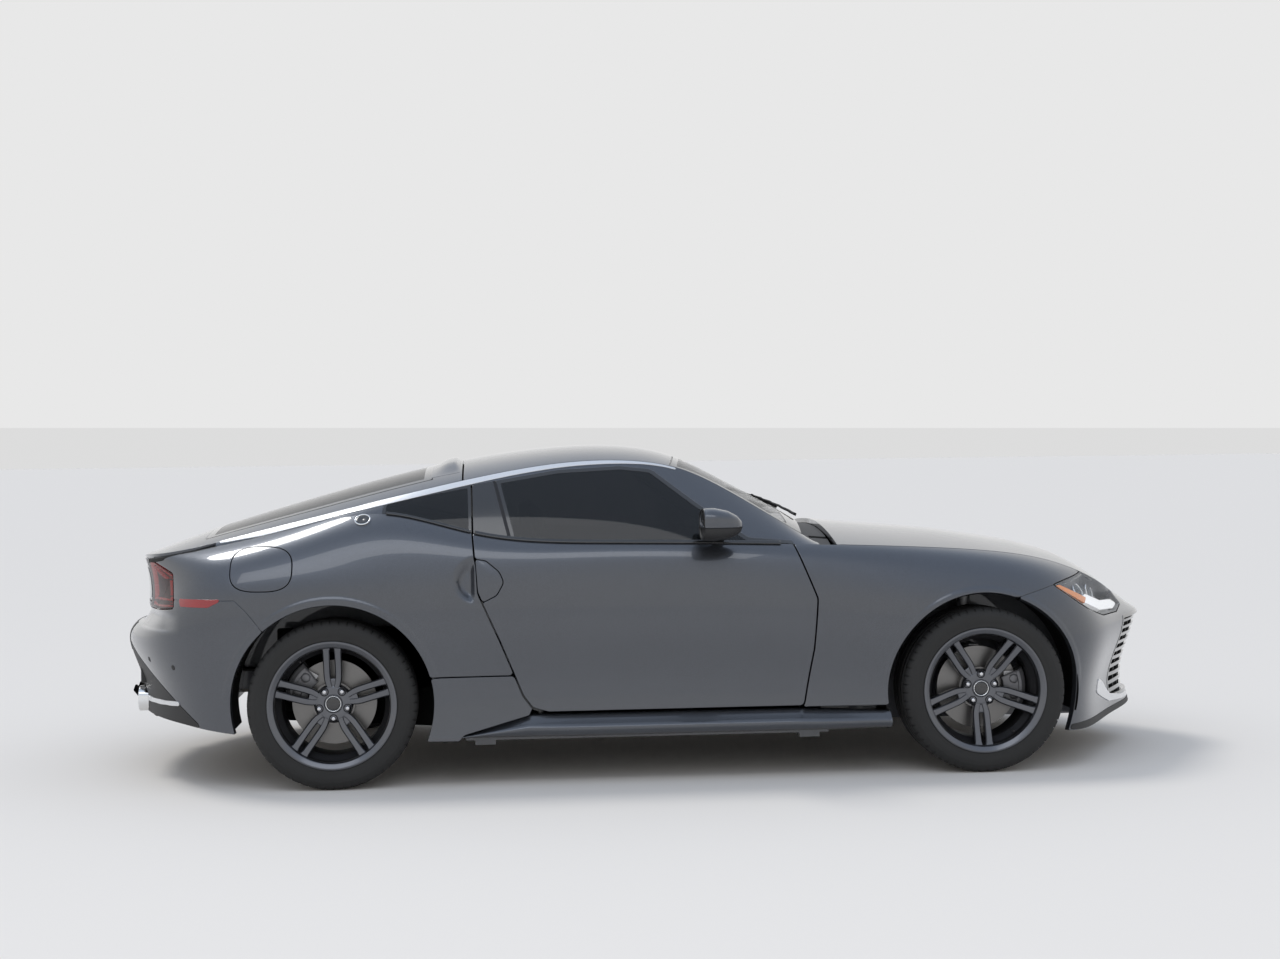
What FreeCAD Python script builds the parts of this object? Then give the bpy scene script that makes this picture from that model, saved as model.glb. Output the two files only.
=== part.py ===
"""Two-door coupe car, modelled as separate pieces in one shared frame.

Millimetres. +X points to the nose, +Y to the left side, +Z up. The origin is on the
ground, under the middle of the car.
"""
import FreeCAD, Part

import Sketcher
import math
import os

V = FreeCAD.Vector
DOC = FreeCAD.newDocument("Coupe")

# Driving dimensions, one row of the sheet each.
SIZES = {
    "length": 4380, "width": 1845, "height": 1315, "frontOverhang": 923, "wheelbase": 2550,
    "trackFront": 1549, "trackRear": 1569,
    "tyreRadius": 325, "tyreWidth": 245, "treadWall": 14, "sideWall": 14, "beadRadius": 228, "archGap": 62,
    "rimWall": 6, "rimLip": 246, "wellRadius": 206, "lipWidth": 230,
    "spokeDepth": 40, "spokeRoot": 24, "spokeWaist": 40, "spokeEnd": 36, "slotHalf": 8,
    "hubRadius": 75, "hubDepth": 22, "wheelInset": 20.5,
    "spindleRadius": 25, "runningFit": 0.05, "seatGap": 0.3, "shutGap": 5,
    "discRadius": 163, "discWall": 26, "discInset": 38, "hatRadius": 82, "hatWall": 8,
    "panelWall": 10, "doorWall": 100, "sillWall": 110, "glassWall": 5, "railWall": 24,
    "roofWall": 18, "hoodWall": 16,
    "floorHeight": 165, "floorWall": 15, "tunnelWidth": 280, "tunnelHeight": 215, "sheetWall": 6,
    "bayHalfWidth": 462, "bulkheadX": 655, "bulkheadWall": 12, "rearWallX": -775, "bootHeight": 405,
    "engineWidth": 420, "engineBottom": 260, "engineTop": 760,
    "kingpinY": 700, "kingpinRadius": 8, "armLow": 190, "armHigh": 490, "hubCarrier": 46,
    "steeringRim": 182, "steeringGrip": 14, "columnRadius": 12,
    "seatWidth": 450, "seatOffset": 385, "hingePin": 6,
}
SHEET = DOC.addObject("Spreadsheet::Sheet", "Sizes")
for rowNumber, (word, value) in enumerate(SIZES.items(), start=1):
    SHEET.set("A%d" % rowNumber, word)
    SHEET.set("B%d" % rowNumber, str(value))
    SHEET.setAlias("B%d" % rowNumber, word)
DOC.recompute()


def formulaOf(number):
    """How a number is written in a formula of the document."""
    return number.formula if isinstance(number, Measure) else "%.6f" % number


class Measure(float):
    """A number that carries its formula on the sheet through sums and products."""

    def __new__(cls, value, formula):
        made = super().__new__(cls, value)
        made.formula = formula
        return made

    def joined(self, other, sign, value):
        return Measure(value, "(%s %s %s)" % (formulaOf(self), sign, formulaOf(other)))

    def __add__(self, other):
        return self.joined(other, "+", float(self) + float(other))

    def __radd__(self, other):
        return self + other

    def __sub__(self, other):
        return self.joined(other, "-", float(self) - float(other))

    def __rsub__(self, other):
        return -self + other

    def __mul__(self, other):
        return self.joined(other, "*", float(self) * float(other))

    def __rmul__(self, other):
        return self * other

    def __truediv__(self, other):
        return self.joined(other, "/", float(self) / float(other))

    def __neg__(self):
        return Measure(-float(self), "(0 - %s)" % self.formula)


def size(word):
    """A driving dimension, read from the sheet."""
    return Measure(getattr(SHEET, word), "Sizes." + word)


# The tables below are drawn for these overall sizes and stretch with the sheet.
DRAWN = {"length": 4380.0, "width": 1845.0, "height": 1315.0, "frontOverhang": 923.0, "wheelbase": 2550.0}
NOSE_X = size("length") / 2
FRONT_X = NOSE_X - size("frontOverhang")
REAR_X = FRONT_X - size("wheelbase")
AXLE_Z = size("tyreRadius")
ARCH_R = size("tyreRadius") + size("archGap")
GAP = size("shutGap")
FIT = size("seatGap")


def bodyX(x):
    """Place along the car: each overhang and the wheelbase stretch by themselves."""
    nose, tail = DRAWN["length"] / 2, -DRAWN["length"] / 2
    front = nose - DRAWN["frontOverhang"]
    rear = front - DRAWN["wheelbase"]
    if x >= front:
        return FRONT_X + (NOSE_X - FRONT_X) * ((x - front) / (nose - front))
    if x >= rear:
        return REAR_X + size("wheelbase") * ((x - rear) / DRAWN["wheelbase"])
    return REAR_X + (REAR_X + NOSE_X) * ((x - rear) / (rear - tail))


def bodyY(y):
    """Place across the car."""
    return size("width") * (y / DRAWN["width"])


def bodyZ(z):
    """Height above the ground."""
    return size("height") * (z / DRAWN["height"])


def point(x, y, z):
    return V(bodyX(x), bodyY(y), bodyZ(z))


def hold(thing, rules):
    """Binds properties of a document object to formulas on the sheet."""
    for path, number in rules.items():
        thing.setExpression(path, formulaOf(number))


def box(label, x0, x1, y0, y1, z0, z1):
    """Block of the document between two corners."""
    thing = DOC.addObject("Part::Box", label)
    hold(thing, {"Length": x1 - x0, "Width": y1 - y0, "Height": z1 - z0,
                 "Placement.Base.x": x0, "Placement.Base.y": y0, "Placement.Base.z": z0})
    return thing


TURNS = {"x": FreeCAD.Rotation(V(0, 1, 0), 90), "y": FreeCAD.Rotation(V(1, 0, 0), -90), "z": FreeCAD.Rotation()}


def cylinder(label, axis, radius, length, x, y, z):
    """Round bar of the document from a point along an axis."""
    thing = DOC.addObject("Part::Cylinder", label)
    thing.Placement = FreeCAD.Placement(V(0, 0, 0), TURNS[axis])
    hold(thing, {"Radius": radius, "Height": length,
                 "Placement.Base.x": x, "Placement.Base.y": y, "Placement.Base.z": z})
    return thing


def fused(label, *parts):
    thing = DOC.addObject("Part::MultiFuse", label)
    thing.Shapes = list(parts)
    thing.Refine = True
    return thing


def cutBy(label, base, *tools):
    thing = DOC.addObject("Part::Cut", label)
    thing.Base = base
    thing.Tool = tools[0] if len(tools) == 1 else fused(label + "Tools", *tools)
    return thing


def compound(label, *parts):
    thing = DOC.addObject("Part::Compound", label)
    thing.Links = list(parts)
    return thing


def mirror(label, source):
    """The same piece on the right side of the car."""
    thing = DOC.addObject("Part::Mirroring", label)
    thing.Source = source
    thing.Base = V(0, 0, 0)
    thing.Normal = V(0, 1, 0)
    return thing


def drawRing(sketch, points):
    """Closed outline whose corners are held at formulas on the sheet."""
    first = sketch.GeometryCount
    count = len(points)
    corners = [V(float(a), float(b), 0) for a, b in points]
    lines = [Part.LineSegment(corners[i], corners[(i + 1) % count]) for i in range(count)]
    sketch.addGeometry(lines, False)
    links = [Sketcher.Constraint("Coincident", first + i, 2, first + (i + 1) % count, 1) for i in range(count)]
    sketch.addConstraint(links)
    for i, (a, b) in enumerate(points):
        for kind, number in (("DistanceX", a), ("DistanceY", b)):
            index = sketch.addConstraint(Sketcher.Constraint(kind, -1, 1, first + i, 1, float(number)))
            if isinstance(number, Measure):
                sketch.setExpression("Constraints[%d]" % index, number.formula)


SIDE_VIEW = FreeCAD.Rotation(V(1, 0, 0), 90)


def profile(label, points, y, width):
    """Side view outline of (x, z), drawn at a place across the car and carried to the right."""
    sketch = DOC.addObject("Sketcher::SketchObject", label + "Outline")
    sketch.Placement = FreeCAD.Placement(V(0, 0, 0), SIDE_VIEW)
    hold(sketch, {"Placement.Base.y": y})
    drawRing(sketch, points)
    thing = DOC.addObject("Part::Extrusion", label)
    thing.Base = sketch
    thing.DirMode = "Normal"
    thing.Solid = True
    hold(thing, {"LengthFwd": width})
    return thing


pieces = {}


def keep(label, thing):
    """Counts a document object as one sub-part and gives it the name of its file."""
    thing.Label = label
    pieces[label] = thing
    return thing


def piece(label, shape):
    """A sub-part whose shape is made from the surfaces."""
    thing = DOC.addObject("Part::Feature", label)
    thing.Shape = shape
    return keep(label, thing)


def pair(label, shape, right=None):
    """Left and right sub-parts, mirror images of each other."""
    left = piece(label + "_left", shape)
    if right is None:
        keep(label + "_right", mirror(label + "_right", left))
    else:
        piece(label + "_right", right)


# One half of the lower body, nose to tail: plan loop at the widest height, heights of the
# bottom edge, widest line and crest, insets from the loop, and the top edge of the panels.
BELT = [
    dict(x=2190, y=0, bottom=165, wide=564, crest=590, inBottom=50, inLow=72, inCrest=58,
         topX=2002, topY=0, topZ=672),
    dict(x=2190, y=140, bottom=165, wide=564, crest=590, inBottom=50, inLow=72, inCrest=58,
         topX=2002, topY=190, topZ=671),
    dict(x=1965, y=455, bottom=160, wide=564, crest=590, inBottom=50, inLow=72, inCrest=58,
         topX=1940, topY=430, topZ=670),
    dict(x=1795, y=750, bottom=150, wide=530, crest=650, inBottom=45, inLow=45, inCrest=48,
         topX=1800, topY=585, topZ=750),
    dict(x=1640, y=885, bottom=150, wide=500, crest=730, inBottom=25, inLow=25, inCrest=70,
         topX=1590, topY=655, topZ=830),
    dict(x=1400, y=920, bottom=180, wide=560, crest=790, inBottom=20, inLow=30, inCrest=70,
         topX=1350, topY=710, topZ=868),
    dict(x=1050, y=918, bottom=180, wide=600, crest=815, inBottom=20, inLow=40, inCrest=65,
         topX=1030, topY=752, topZ=890),
    dict(x=700, y=897, bottom=180, wide=630, crest=830, inBottom=5, inLow=45, inCrest=40,
         topX=690, topY=785, topZ=905),
    dict(x=250, y=897, bottom=180, wide=650, crest=840, inBottom=0, inLow=45, inCrest=25,
         topX=250, topY=822, topZ=922),
    dict(x=-250, y=900, bottom=180, wide=650, crest=845, inBottom=0, inLow=45, inCrest=25,
         topX=-250, topY=822, topZ=930),
    dict(x=-700, y=905, bottom=180, wide=655, crest=850, inBottom=0, inLow=45, inCrest=25,
         topX=-700, topY=802, topZ=940),
    dict(x=-1050, y=922, bottom=185, wide=660, crest=860, inBottom=10, inLow=30, inCrest=35,
         topX=-1080, topY=735, topZ=1090),
    dict(x=-1400, y=934, bottom=200, wide=680, crest=860, inBottom=20, inLow=15, inCrest=45,
         topX=-1400, topY=712, topZ=1006),
    dict(x=-1720, y=905, bottom=225, wide=680, crest=840, inBottom=40, inLow=20, inCrest=50,
         topX=-1720, topY=690, topZ=936),
    dict(x=-1915, y=801, bottom=250, wide=560, crest=790, inBottom=70, inLow=40, inCrest=50,
         topX=-1960, topY=630, topZ=888),
    dict(x=-2085, y=557, bottom=258, wide=556, crest=645, inBottom=60, inLow=55, inCrest=102,
         topX=-2050, topY=470, topZ=876),
    dict(x=-2190, y=207, bottom=258, wide=556, crest=645, inBottom=60, inLow=55, inCrest=102,
         topX=-2110, topY=240, topZ=872),
    dict(x=-2190, y=0, bottom=258, wide=556, crest=645, inBottom=60, inLow=55, inCrest=102,
         topX=-2110, topY=0, topZ=872),
]
# Windscreen, roof and hatch: place along the car, half width and height of the edge of the
# roof, and height on the centre line.
TOP = [(640, 700, 905, 985), (540, 690, 965, 1040), (320, 640, 1105, 1160), (110, 605, 1220, 1277),
       (-100, 600, 1256, 1320), (-400, 605, 1250, 1317), (-760, 645, 1184, 1268),
       (-1080, 685, 1110, 1200), (-1400, 685, 1030, 1110), (-1720, 668, 955, 1020),
       (-1970, 640, 893, 935), (-2130, 560, 868, 870)]
# Height of the hood along the centre line.
HOOD = [(2002, 677), (1960, 710), (1900, 752), (1856, 780), (1790, 816), (1720, 846), (1600, 877),
        (1500, 896), (1250, 933), (1000, 957), (800, 975), (650, 990), (560, 998)]
# Where the hood's edge turns round the nose.
HOOD_TURN = 1985


def clampedSurface(net):
    """Cubic B-spline surface on a net of poles, its edges on the outer poles."""
    def knots(count):
        spans = count - 3
        return list(range(spans + 1)), [4] + [1] * (spans - 1) + [4]
    uKnots, uMults = knots(len(net))
    vKnots, vMults = knots(len(net[0]))
    surface = Part.BSplineSurface()
    surface.buildFromPolesMultsKnots(net, uMults, vMults, uKnots, vKnots, False, False, 3, 3)
    return surface


def splineThrough(points):
    curve = Part.BSplineCurve()
    curve.interpolate(points)
    return curve


def beltNet():
    """Poles of the lower body: each column climbs from the bottom edge to the top edge."""
    net = []
    last = len(BELT) - 1
    for i, s in enumerate(BELT):
        before = BELT[i - 1] if i else dict(x=BELT[1]["x"], y=-BELT[1]["y"])
        after = BELT[i + 1] if i < last else dict(x=BELT[last - 1]["x"], y=-BELT[last - 1]["y"])
        along = V(after["x"] - before["x"], after["y"] - before["y"], 0)
        side = 1 if along.y * s["x"] - along.x * s["y"] > 0 else -1
        out = V(along.y, -along.x, 0).normalize() * side

        def pole(inset, z):
            return point(s["x"] - out.x * inset, s["y"] - out.y * inset, z)
        rise = s["wide"] - s["bottom"]
        crest = pole(s["inCrest"], s["crest"])
        top = point(s["topX"], s["topY"], s["topZ"])
        net.append([
            pole(s["inBottom"], s["bottom"]),
            pole(s["inBottom"] * 0.5 + s["inLow"] * 0.6, s["bottom"] + 0.18 * rise),
            pole(s["inLow"], s["bottom"] + 0.45 * rise),
            pole(0, s["bottom"] + 0.85 * rise),
            pole(0, s["wide"] + 0.35 * (s["crest"] - s["wide"])),
            crest,
            V((crest.x + top.x) / 2, (crest.y + top.y) / 2, crest.z * 0.25 + top.z * 0.75),
            top])
    return net


def topNet():
    """Poles of the upper surface across its full width."""
    net = []
    for x, edgeY, edgeZ, middleZ in TOP:
        column = []
        for across, climb in ((1, 0), (0.8, 0.6), (0.4, 1), (0, 1), (-0.4, 1), (-0.8, 0.6), (-1, 0)):
            column.append(point(x, edgeY * across, edgeZ + climb * (middleZ - edgeZ)))
        net.append(column)
    return net


def innerNet(net, surface, wall, onCentre):
    """Poles moved inwards by a wall, the first and last columns kept on the centre plane."""
    def places(count):
        flat = [0] * 4 + list(range(1, count - 3)) + [count - 3] * 4
        return [sum(flat[i + 1:i + 4]) / 3.0 for i in range(count)]
    uPlaces, vPlaces = places(len(net)), places(len(net[0]))
    inner = []
    for i, column in enumerate(net):
        moved = []
        for j, pole in enumerate(column):
            q = pole - surface.normal(uPlaces[i], vPlaces[j]) * wall
            if onCentre and i in (0, len(net) - 1):
                q.y = 0
            moved.append(q)
        inner.append(moved)
    return inner


def closeSlab(outer, inner):
    """Solid between two surfaces: both of them and the ruled faces that join their edges."""
    u0, u1, v0, v1 = outer.bounds()
    a0, a1, b0, b1 = inner.bounds()
    faces = [outer.toShape(), inner.toShape()]
    for a, b in ((outer.uIso(u0), inner.uIso(a0)), (outer.uIso(u1), inner.uIso(a1)),
                 (outer.vIso(v0), inner.vIso(b0)), (outer.vIso(v1), inner.vIso(b1))):
        faces.append(Part.makeRuledSurface(a.toShape(), b.toShape()))
    shell = Part.makeShell(faces)
    shell.sewShape()
    solid = Part.Solid(shell)
    if solid.Volume < 0:
        solid.reverse()
    return solid


def slabOf(net, surface, wall, onCentre=False):
    return closeSlab(surface, clampedSurface(innerNet(net, surface, wall, onCentre)))


def patchSlab(surface, wall):
    """Solid under a patch, its inner face drawn through points moved along the normals."""
    u0, u1, v0, v1 = surface.bounds()
    rows = []
    for i in range(25):
        row = []
        for j in range(9):
            u, v = u0 + (u1 - u0) * i / 24.0, v0 + (v1 - v0) * j / 8.0
            normal = surface.normal(u, v)
            side = -1 if normal.z < 0 else 1
            row.append(surface.value(u, v) - normal * (side * wall))
        rows.append(row)
    inner = Part.BSplineSurface()
    inner.interpolate(rows)
    return closeSlab(surface, inner)


def swept(surface, wall, direction):
    """Solid that a surface passes through along a straight wall direction."""
    solid = surface.toShape().extrude(direction * wall)
    if solid.Volume < 0:
        solid.reverse()
    return solid


beltPoles = beltNet()
beltSurface = clampedSurface(beltPoles)
topPoles = topNet()
topSurface = clampedSurface(topPoles)
beltEnd = beltSurface.bounds()[3]
beltTop = beltSurface.vIso(beltEnd)
roofEdge = topSurface.vIso(topSurface.bounds()[2])
roofLine = topSurface.vIso(sum(topSurface.bounds()[2:]) / 2)


def bisected(placeAt, x, a, b):
    """Parameter at which a curve that runs from nose to tail reaches a place."""
    for _ in range(48):
        middle = (a + b) / 2
        if placeAt(middle).x > x:
            a = middle
        else:
            b = middle
    return (a + b) / 2


def atX(curve, x):
    return curve.value(bisected(curve.value, x, curve.FirstParameter, curve.LastParameter))


def beltParameter(x, v):
    a, b = beltSurface.bounds()[:2]
    return bisected(lambda u: beltSurface.value(u, v), x, a, b)


def onBelt(x, z):
    """Point of the left side at a place and height, with the direction straight out of it."""
    q = V(x, bodyY(900), z)
    for _ in range(30):
        u, v = beltSurface.parameter(q)
        q = V(x, beltSurface.value(u, v).y, z)
    return q, beltSurface.normal(u, v)


def sideSurface():
    """Glass side between the belt and the roof edge, slightly bowed outwards."""
    rows = []
    front, back, bulge = 636, -1752, 0.035
    for i in range(19):
        x = bodyX(front + (back - front) * i / 18.0)
        low, high = atX(beltTop, x), atX(roofEdge, x)
        bow = bulge * (high - low).Length
        out = V(0, high.z - low.z, low.y - high.y).normalize()
        row = []
        for j in range(5):
            part = j / 4.0
            row.append(low + (high - low) * part + out * (4 * bow * part * (1 - part)))
        rows.append(row)
    surface = Part.BSplineSurface()
    surface.interpolate(rows)
    return surface


def hoodSurface():
    """Hood: its centre line and the fender edges joined by parabolas across the car."""
    centre = splineThrough([V(bodyX(x), 0, bodyZ(z)) for x, z in HOOD])
    steps = [140 * k for k in range(6, -7, -1)]
    rows = []
    for x in (2040, HOOD_TURN, 1900, 1800, 1650, 1480, 1300, 1100, 900, 750, 640, 570):
        place = bodyX(min(x, HOOD_TURN))
        edge, middle = atX(beltTop, place), atX(centre, place)
        fall = (middle.z - edge.z) / edge.y ** 2
        drop = bodyZ(0.75 * max(0, x - HOOD_TURN))
        rows.append([V(bodyX(x), bodyY(y), middle.z - drop - fall * bodyY(y) ** 2) for y in steps])
    surface = Part.BSplineSurface()
    surface.interpolate(rows)
    return surface


# Tools that cut the panels out of the surfaces.
WIDE, HIGH = 1200, 1600


def prismSide(outline, y0=0):
    """Prism through the left side of the car, from an outline of (x, z)."""
    ring = [V(bodyX(x), y0, bodyZ(z)) for x, z in outline]
    return Part.Face(Part.makePolygon(ring + ring[:1])).extrude(V(0, WIDE - y0, 0))


def prismFace(outline, x0, x1):
    """Prism through the nose or tail, from an outline of (y, z)."""
    ring = [V(bodyX(x0), bodyY(y), bodyZ(z)) for y, z in outline]
    return Part.Face(Part.makePolygon(ring + ring[:1])).extrude(V(bodyX(x1) - bodyX(x0), 0, 0))


def ringPrism(ring, direction):
    return Part.Face(Part.makePolygon(ring + ring[:1])).extrude(direction)


def outsideOf(curve, x0, x1, inset):
    """Space beside the plan of a curve that runs along the car, from a little inside it."""
    count = 16
    points = []
    for i in range(count + 1):
        x = x0 + (x1 - x0) * i / count
        points.append(V(x, atX(curve, x).y - inset, 0))
    a, b = points[0], points[-1]
    farA, farB = V(a.x, WIDE, 0), V(b.x, WIDE, 0)
    edges = [splineThrough(points).toShape(), Part.makeLine(b, farB), Part.makeLine(farB, farA),
             Part.makeLine(farA, a)]
    return Part.Face(Part.Wire(edges)).extrude(V(0, 0, HIGH))


def planPrism(x0, x1, inset, frontBow=0, backBow=0):
    """Prism through the top, between two places and inside the edge of roof, hatch and hood.

    Its front and back edges bow forwards.
    """
    count = 14
    left = []
    for i in range(count + 1):
        x = x0 + (x1 - x0) * i / count
        edge = roofEdge if bodyX(-1740) < x < bodyX(640) else beltTop
        left.append(V(x, atX(edge, x).y - inset, 0))
    right = [V(p.x, -p.y, 0) for p in reversed(left)]

    def crossing(a, b, bow):
        if not bow:
            return Part.makeLine(a, b)
        return Part.Arc(a, V(a.x + bow, 0, 0), b).toShape()
    edges = [splineThrough(left).toShape(), crossing(left[-1], right[0], backBow),
             splineThrough(right).toShape(), crossing(right[-1], left[0], frontBow)]
    return Part.Face(Part.Wire(edges)).extrude(V(0, 0, HIGH))


def hoodPlan(back, inset, bow):
    """Plan of the hood: the top edge of the front panels, moved inwards."""
    uBack = beltParameter(back, beltEnd)
    left = []
    for i in range(25):
        p = beltTop.value(uBack * i / 24.0)
        q = beltTop.tangent(uBack * i / 24.0)[0]
        out = V(-q.y, q.x, 0).normalize() * (1 if q.x * p.y > q.y * p.x else -1)
        left.append(V(p.x - out.x * inset, p.y - out.y * inset, 0))
    left[0].y = 0
    right = [V(p.x, -p.y, 0) for p in reversed(left)]
    a, b = right[0], left[-1]
    edges = [splineThrough(right[:-1] + left).toShape(), Part.Arc(b, V(b.x + bow, 0, 0), a).toShape()]
    return Part.Face(Part.Wire(edges)).extrude(V(0, 0, HIGH))


def grown(outline, by):
    """Outline moved outwards by an amount, corners kept sharp."""
    count = len(outline)
    area = sum(outline[i][0] * outline[(i + 1) % count][1] - outline[(i + 1) % count][0] * outline[i][1]
               for i in range(count))
    turn = 1 if area > 0 else -1
    result = []
    for i in range(count):
        (ax, az), (bx, bz), (cx, cz) = outline[i - 1], outline[i], outline[(i + 1) % count]
        first = V(bx - ax, 0, bz - az).normalize()
        second = V(cx - bx, 0, cz - bz).normalize()
        bisector = V(first.z + second.z, 0, -first.x - second.x) * turn
        bisector = bisector * (2.0 / bisector.Length ** 2)
        result.append((bx + bisector.x * by, bz + bisector.z * by))
    return result


def mirrored(shape):
    return shape.mirror(V(0, 0, 0), V(0, 1, 0))


def biggest(shape):
    return max(shape.Solids, key=lambda solid: solid.Volume)


def bothSides(shape):
    """A half shape that ends on the centre plane, joined to its mirror image."""
    return shape.fuse(mirrored(shape)).removeSplitter()


def block(x0, x1, y0, y1, z0, z1):
    return Part.makeBox(x1 - x0, y1 - y0, z1 - z0, V(x0, y0, z0))


def rod(radius, start, end):
    along = end - start
    return Part.makeCylinder(radius, along.Length, start, along)


# Lower panels, cut out of one slab of the left half.
thin = slabOf(beltPoles, beltSurface, size("panelWall"), onCentre=True)
ARCH_IN = 420
archFront = rod(ARCH_R, V(FRONT_X, ARCH_IN, AXLE_Z), V(FRONT_X, WIDE, AXLE_Z))
archRear = rod(ARCH_R, V(REAR_X, ARCH_IN, AXLE_Z), V(REAR_X, WIDE, AXLE_Z))

SILL_TOP = 276
DOOR_LINE = [(600, 700), (585, 500), (545, 281), (-455, 281), (-515, 298), (-550, 345), (-640, 565),
             (-722, 750), (-742, 1010)]
doorRing = [(515, 1010), (515, 925)] + DOOR_LINE
# The seam from the front wheel arch to the lamp, and the upper edge of the lamp.
FRONT_SEAM = [(1412, 692), (1568, 732), (1640, 748), (1712, 760), (1760, 770)]
lampRing = FRONT_SEAM[1:] + [(1800, 900), (1962, 900), (1985, 655), (2030, 606), (1960, 586),
                             (1829, 592), (1740, 622), (1674, 660)]
fenderRing = FRONT_SEAM + [(1760, 1010), (515, 1010), (515, 925), (600, 700), (585, 500),
                           (545, SILL_TOP), (1267, SILL_TOP), (1267, 692)]
bumperRing = [(2300, 0), (2300, 900), (1760, 900)] + FRONT_SEAM[::-1] + [(1412, 0)]
lampPrism = prismSide(lampRing, 200)
doorHole = prismSide(grown(doorRing, GAP))
besideHood = outsideOf(beltTop, bodyX(1990), bodyX(400), FIT)

fender = thin.common(prismSide(fenderRing)).cut(doorHole).cut(archFront).cut(lampPrism)
pair("front_fender", biggest(fender.common(besideHood)))

mouth = [(-430, 300), (-400, 225), (400, 225), (430, 300), (430, 520), (405, 556), (-405, 556), (-430, 520)]
nose = thin.common(prismSide(bumperRing, -1)).cut(archFront).cut(lampPrism)
nose = bothSides(biggest(nose)).cut(prismFace(mouth, 1900, 2300))
piece("front_bumper", nose)
lampShape = biggest(thin.common(lampPrism).common(besideHood))
piece("headlights", Part.makeCompound([lampShape, mirrored(lampShape)]))

MESH_BARS = 9
layers = [clampedSurface(innerNet(beltPoles, beltSurface, size("panelWall") + depth, True)) for depth in (0, 9)]
mesh = closeSlab(*layers).common(prismFace([(-5, 200), (470, 200), (470, 585), (-5, 585)], 1900, 2300))
mesh = bothSides(biggest(mesh))
slots = []
for i in range(MESH_BARS):
    z = 236 + i * 36
    for a, b in ((-400, -12), (12, 400)):
        slots.append(prismFace([(a, z), (b, z), (b, z + 22), (a, z + 22)], 1900, 2300))
piece("grille", mesh.cut(Part.makeCompound(slots)))

sideBand = beltSurface.copy()
sideBand.segment(beltParameter(bodyX(930), 2), beltParameter(bodyX(-1010), 2), 0, beltEnd)
sill = swept(sideBand, size("sillWall"), V(0, -1, 0))
sill = sill.common(prismSide([(905, 150), (905, SILL_TOP), (-920, SILL_TOP), (-920, 150)]))
sill = biggest(sill.cut(archFront).cut(archRear))
piece("sills", Part.makeCompound([sill, mirrored(sill)]))

# Door: the outer panel and a thick inside within its shut lines, with two hinge pins.
doorInside = [(475, 884), (475, 300), (-440, 300), (-500, 318), (-535, 360), (-620, 570), (-690, 750),
              (-700, 884)]
doorSkin = thin.common(prismSide(doorRing)).common(outsideOf(beltTop, bodyX(900), bodyX(-1010), FIT))
door = doorSkin.fuse(swept(sideBand, size("doorWall"), V(0, -1, 0)).common(prismSide(doorInside)))
hingeX, hingeY, hingePin = bodyX(450), bodyY(840), size("hingePin")
HINGE_HEIGHTS = (380, 680)
ARM_HALF, POCKET_HALF, EYE = 6, 14, 13
for z in HINGE_HEIGHTS:
    door = door.cut(block(hingeX - 26, hingeX + 40, 600, hingeY + EYE + 5, z - POCKET_HALF, z + POCKET_HALF))
for z in HINGE_HEIGHTS:
    door = door.fuse(rod(hingePin, V(hingeX, hingeY, z - POCKET_HALF), V(hingeX, hingeY, z + POCKET_HALF)))
door = biggest(door)
pair("door", door)

# Rear quarter, fuel lid, bumper, diffuser and lamps.
ARCH_SEAM = [(-1283, 325), (-1540, 615), (-1600, 690), (-1648, 734), (-1901, 731)]
tailRing = [(-1912, 828), (-1898, 699), (-1990, 684), (-2080, 672), (-2300, 672), (-2300, 1000),
            (-2045, 1000), (-2036, 878)]
quarterRing = DOOR_LINE[:3:-1] + [(-505, SILL_TOP), (-900, SILL_TOP)] + ARCH_SEAM + [
    (-2300, 731), (-2300, 1200), (-742, 1200)]
quarter = thin.common(prismSide(quarterRing)).cut(doorHole).cut(archRear).cut(prismSide(tailRing, -1))
quarter = biggest(quarter.common(outsideOf(beltTop, bodyX(-400), bodyX(-2095), FIT)))

LID_X, LID_Z, LID_LONG, LID_TALL = -1549, 850, 118, 82
lidRing = []
for i in range(24):
    a = 2 * math.pi * i / 24
    reach = (abs(math.cos(a)) ** 3 + abs(math.sin(a)) ** 3) ** (-1 / 3.0)
    lidRing.append((LID_X + LID_LONG * reach * math.cos(a), LID_Z + LID_TALL * reach * math.sin(a)))
lid = biggest(thin.common(prismSide(lidRing)))
quarterCut = quarter.cut(prismSide(grown(lidRing, GAP)))

# The lid turns on a pin that lies along the skin, close behind its front edge.
pinPlace, pinOut = onBelt(bodyX(LID_X + LID_LONG - 10), bodyZ(LID_Z))
pinOut = V(0, pinOut.y, pinOut.z).normalize()
pinAlong = V(1, 0, 0).cross(pinOut)
PIN_DEPTH, LID_PIN = 8, 2.5
lidFrame = FreeCAD.Placement(FreeCAD.Matrix(
    1, 0, 0, pinPlace.x, 0, pinOut.y, pinAlong.y, pinPlace.y, 0, pinOut.z, pinAlong.z, pinPlace.z, 0, 0, 0, 1))


def onLid(shape):
    """A shape drawn with X forwards, Y out of the skin and Z along the pin, put in place."""
    placed = shape.copy()
    placed.Placement = lidFrame.multiply(shape.Placement)
    return placed


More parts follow.
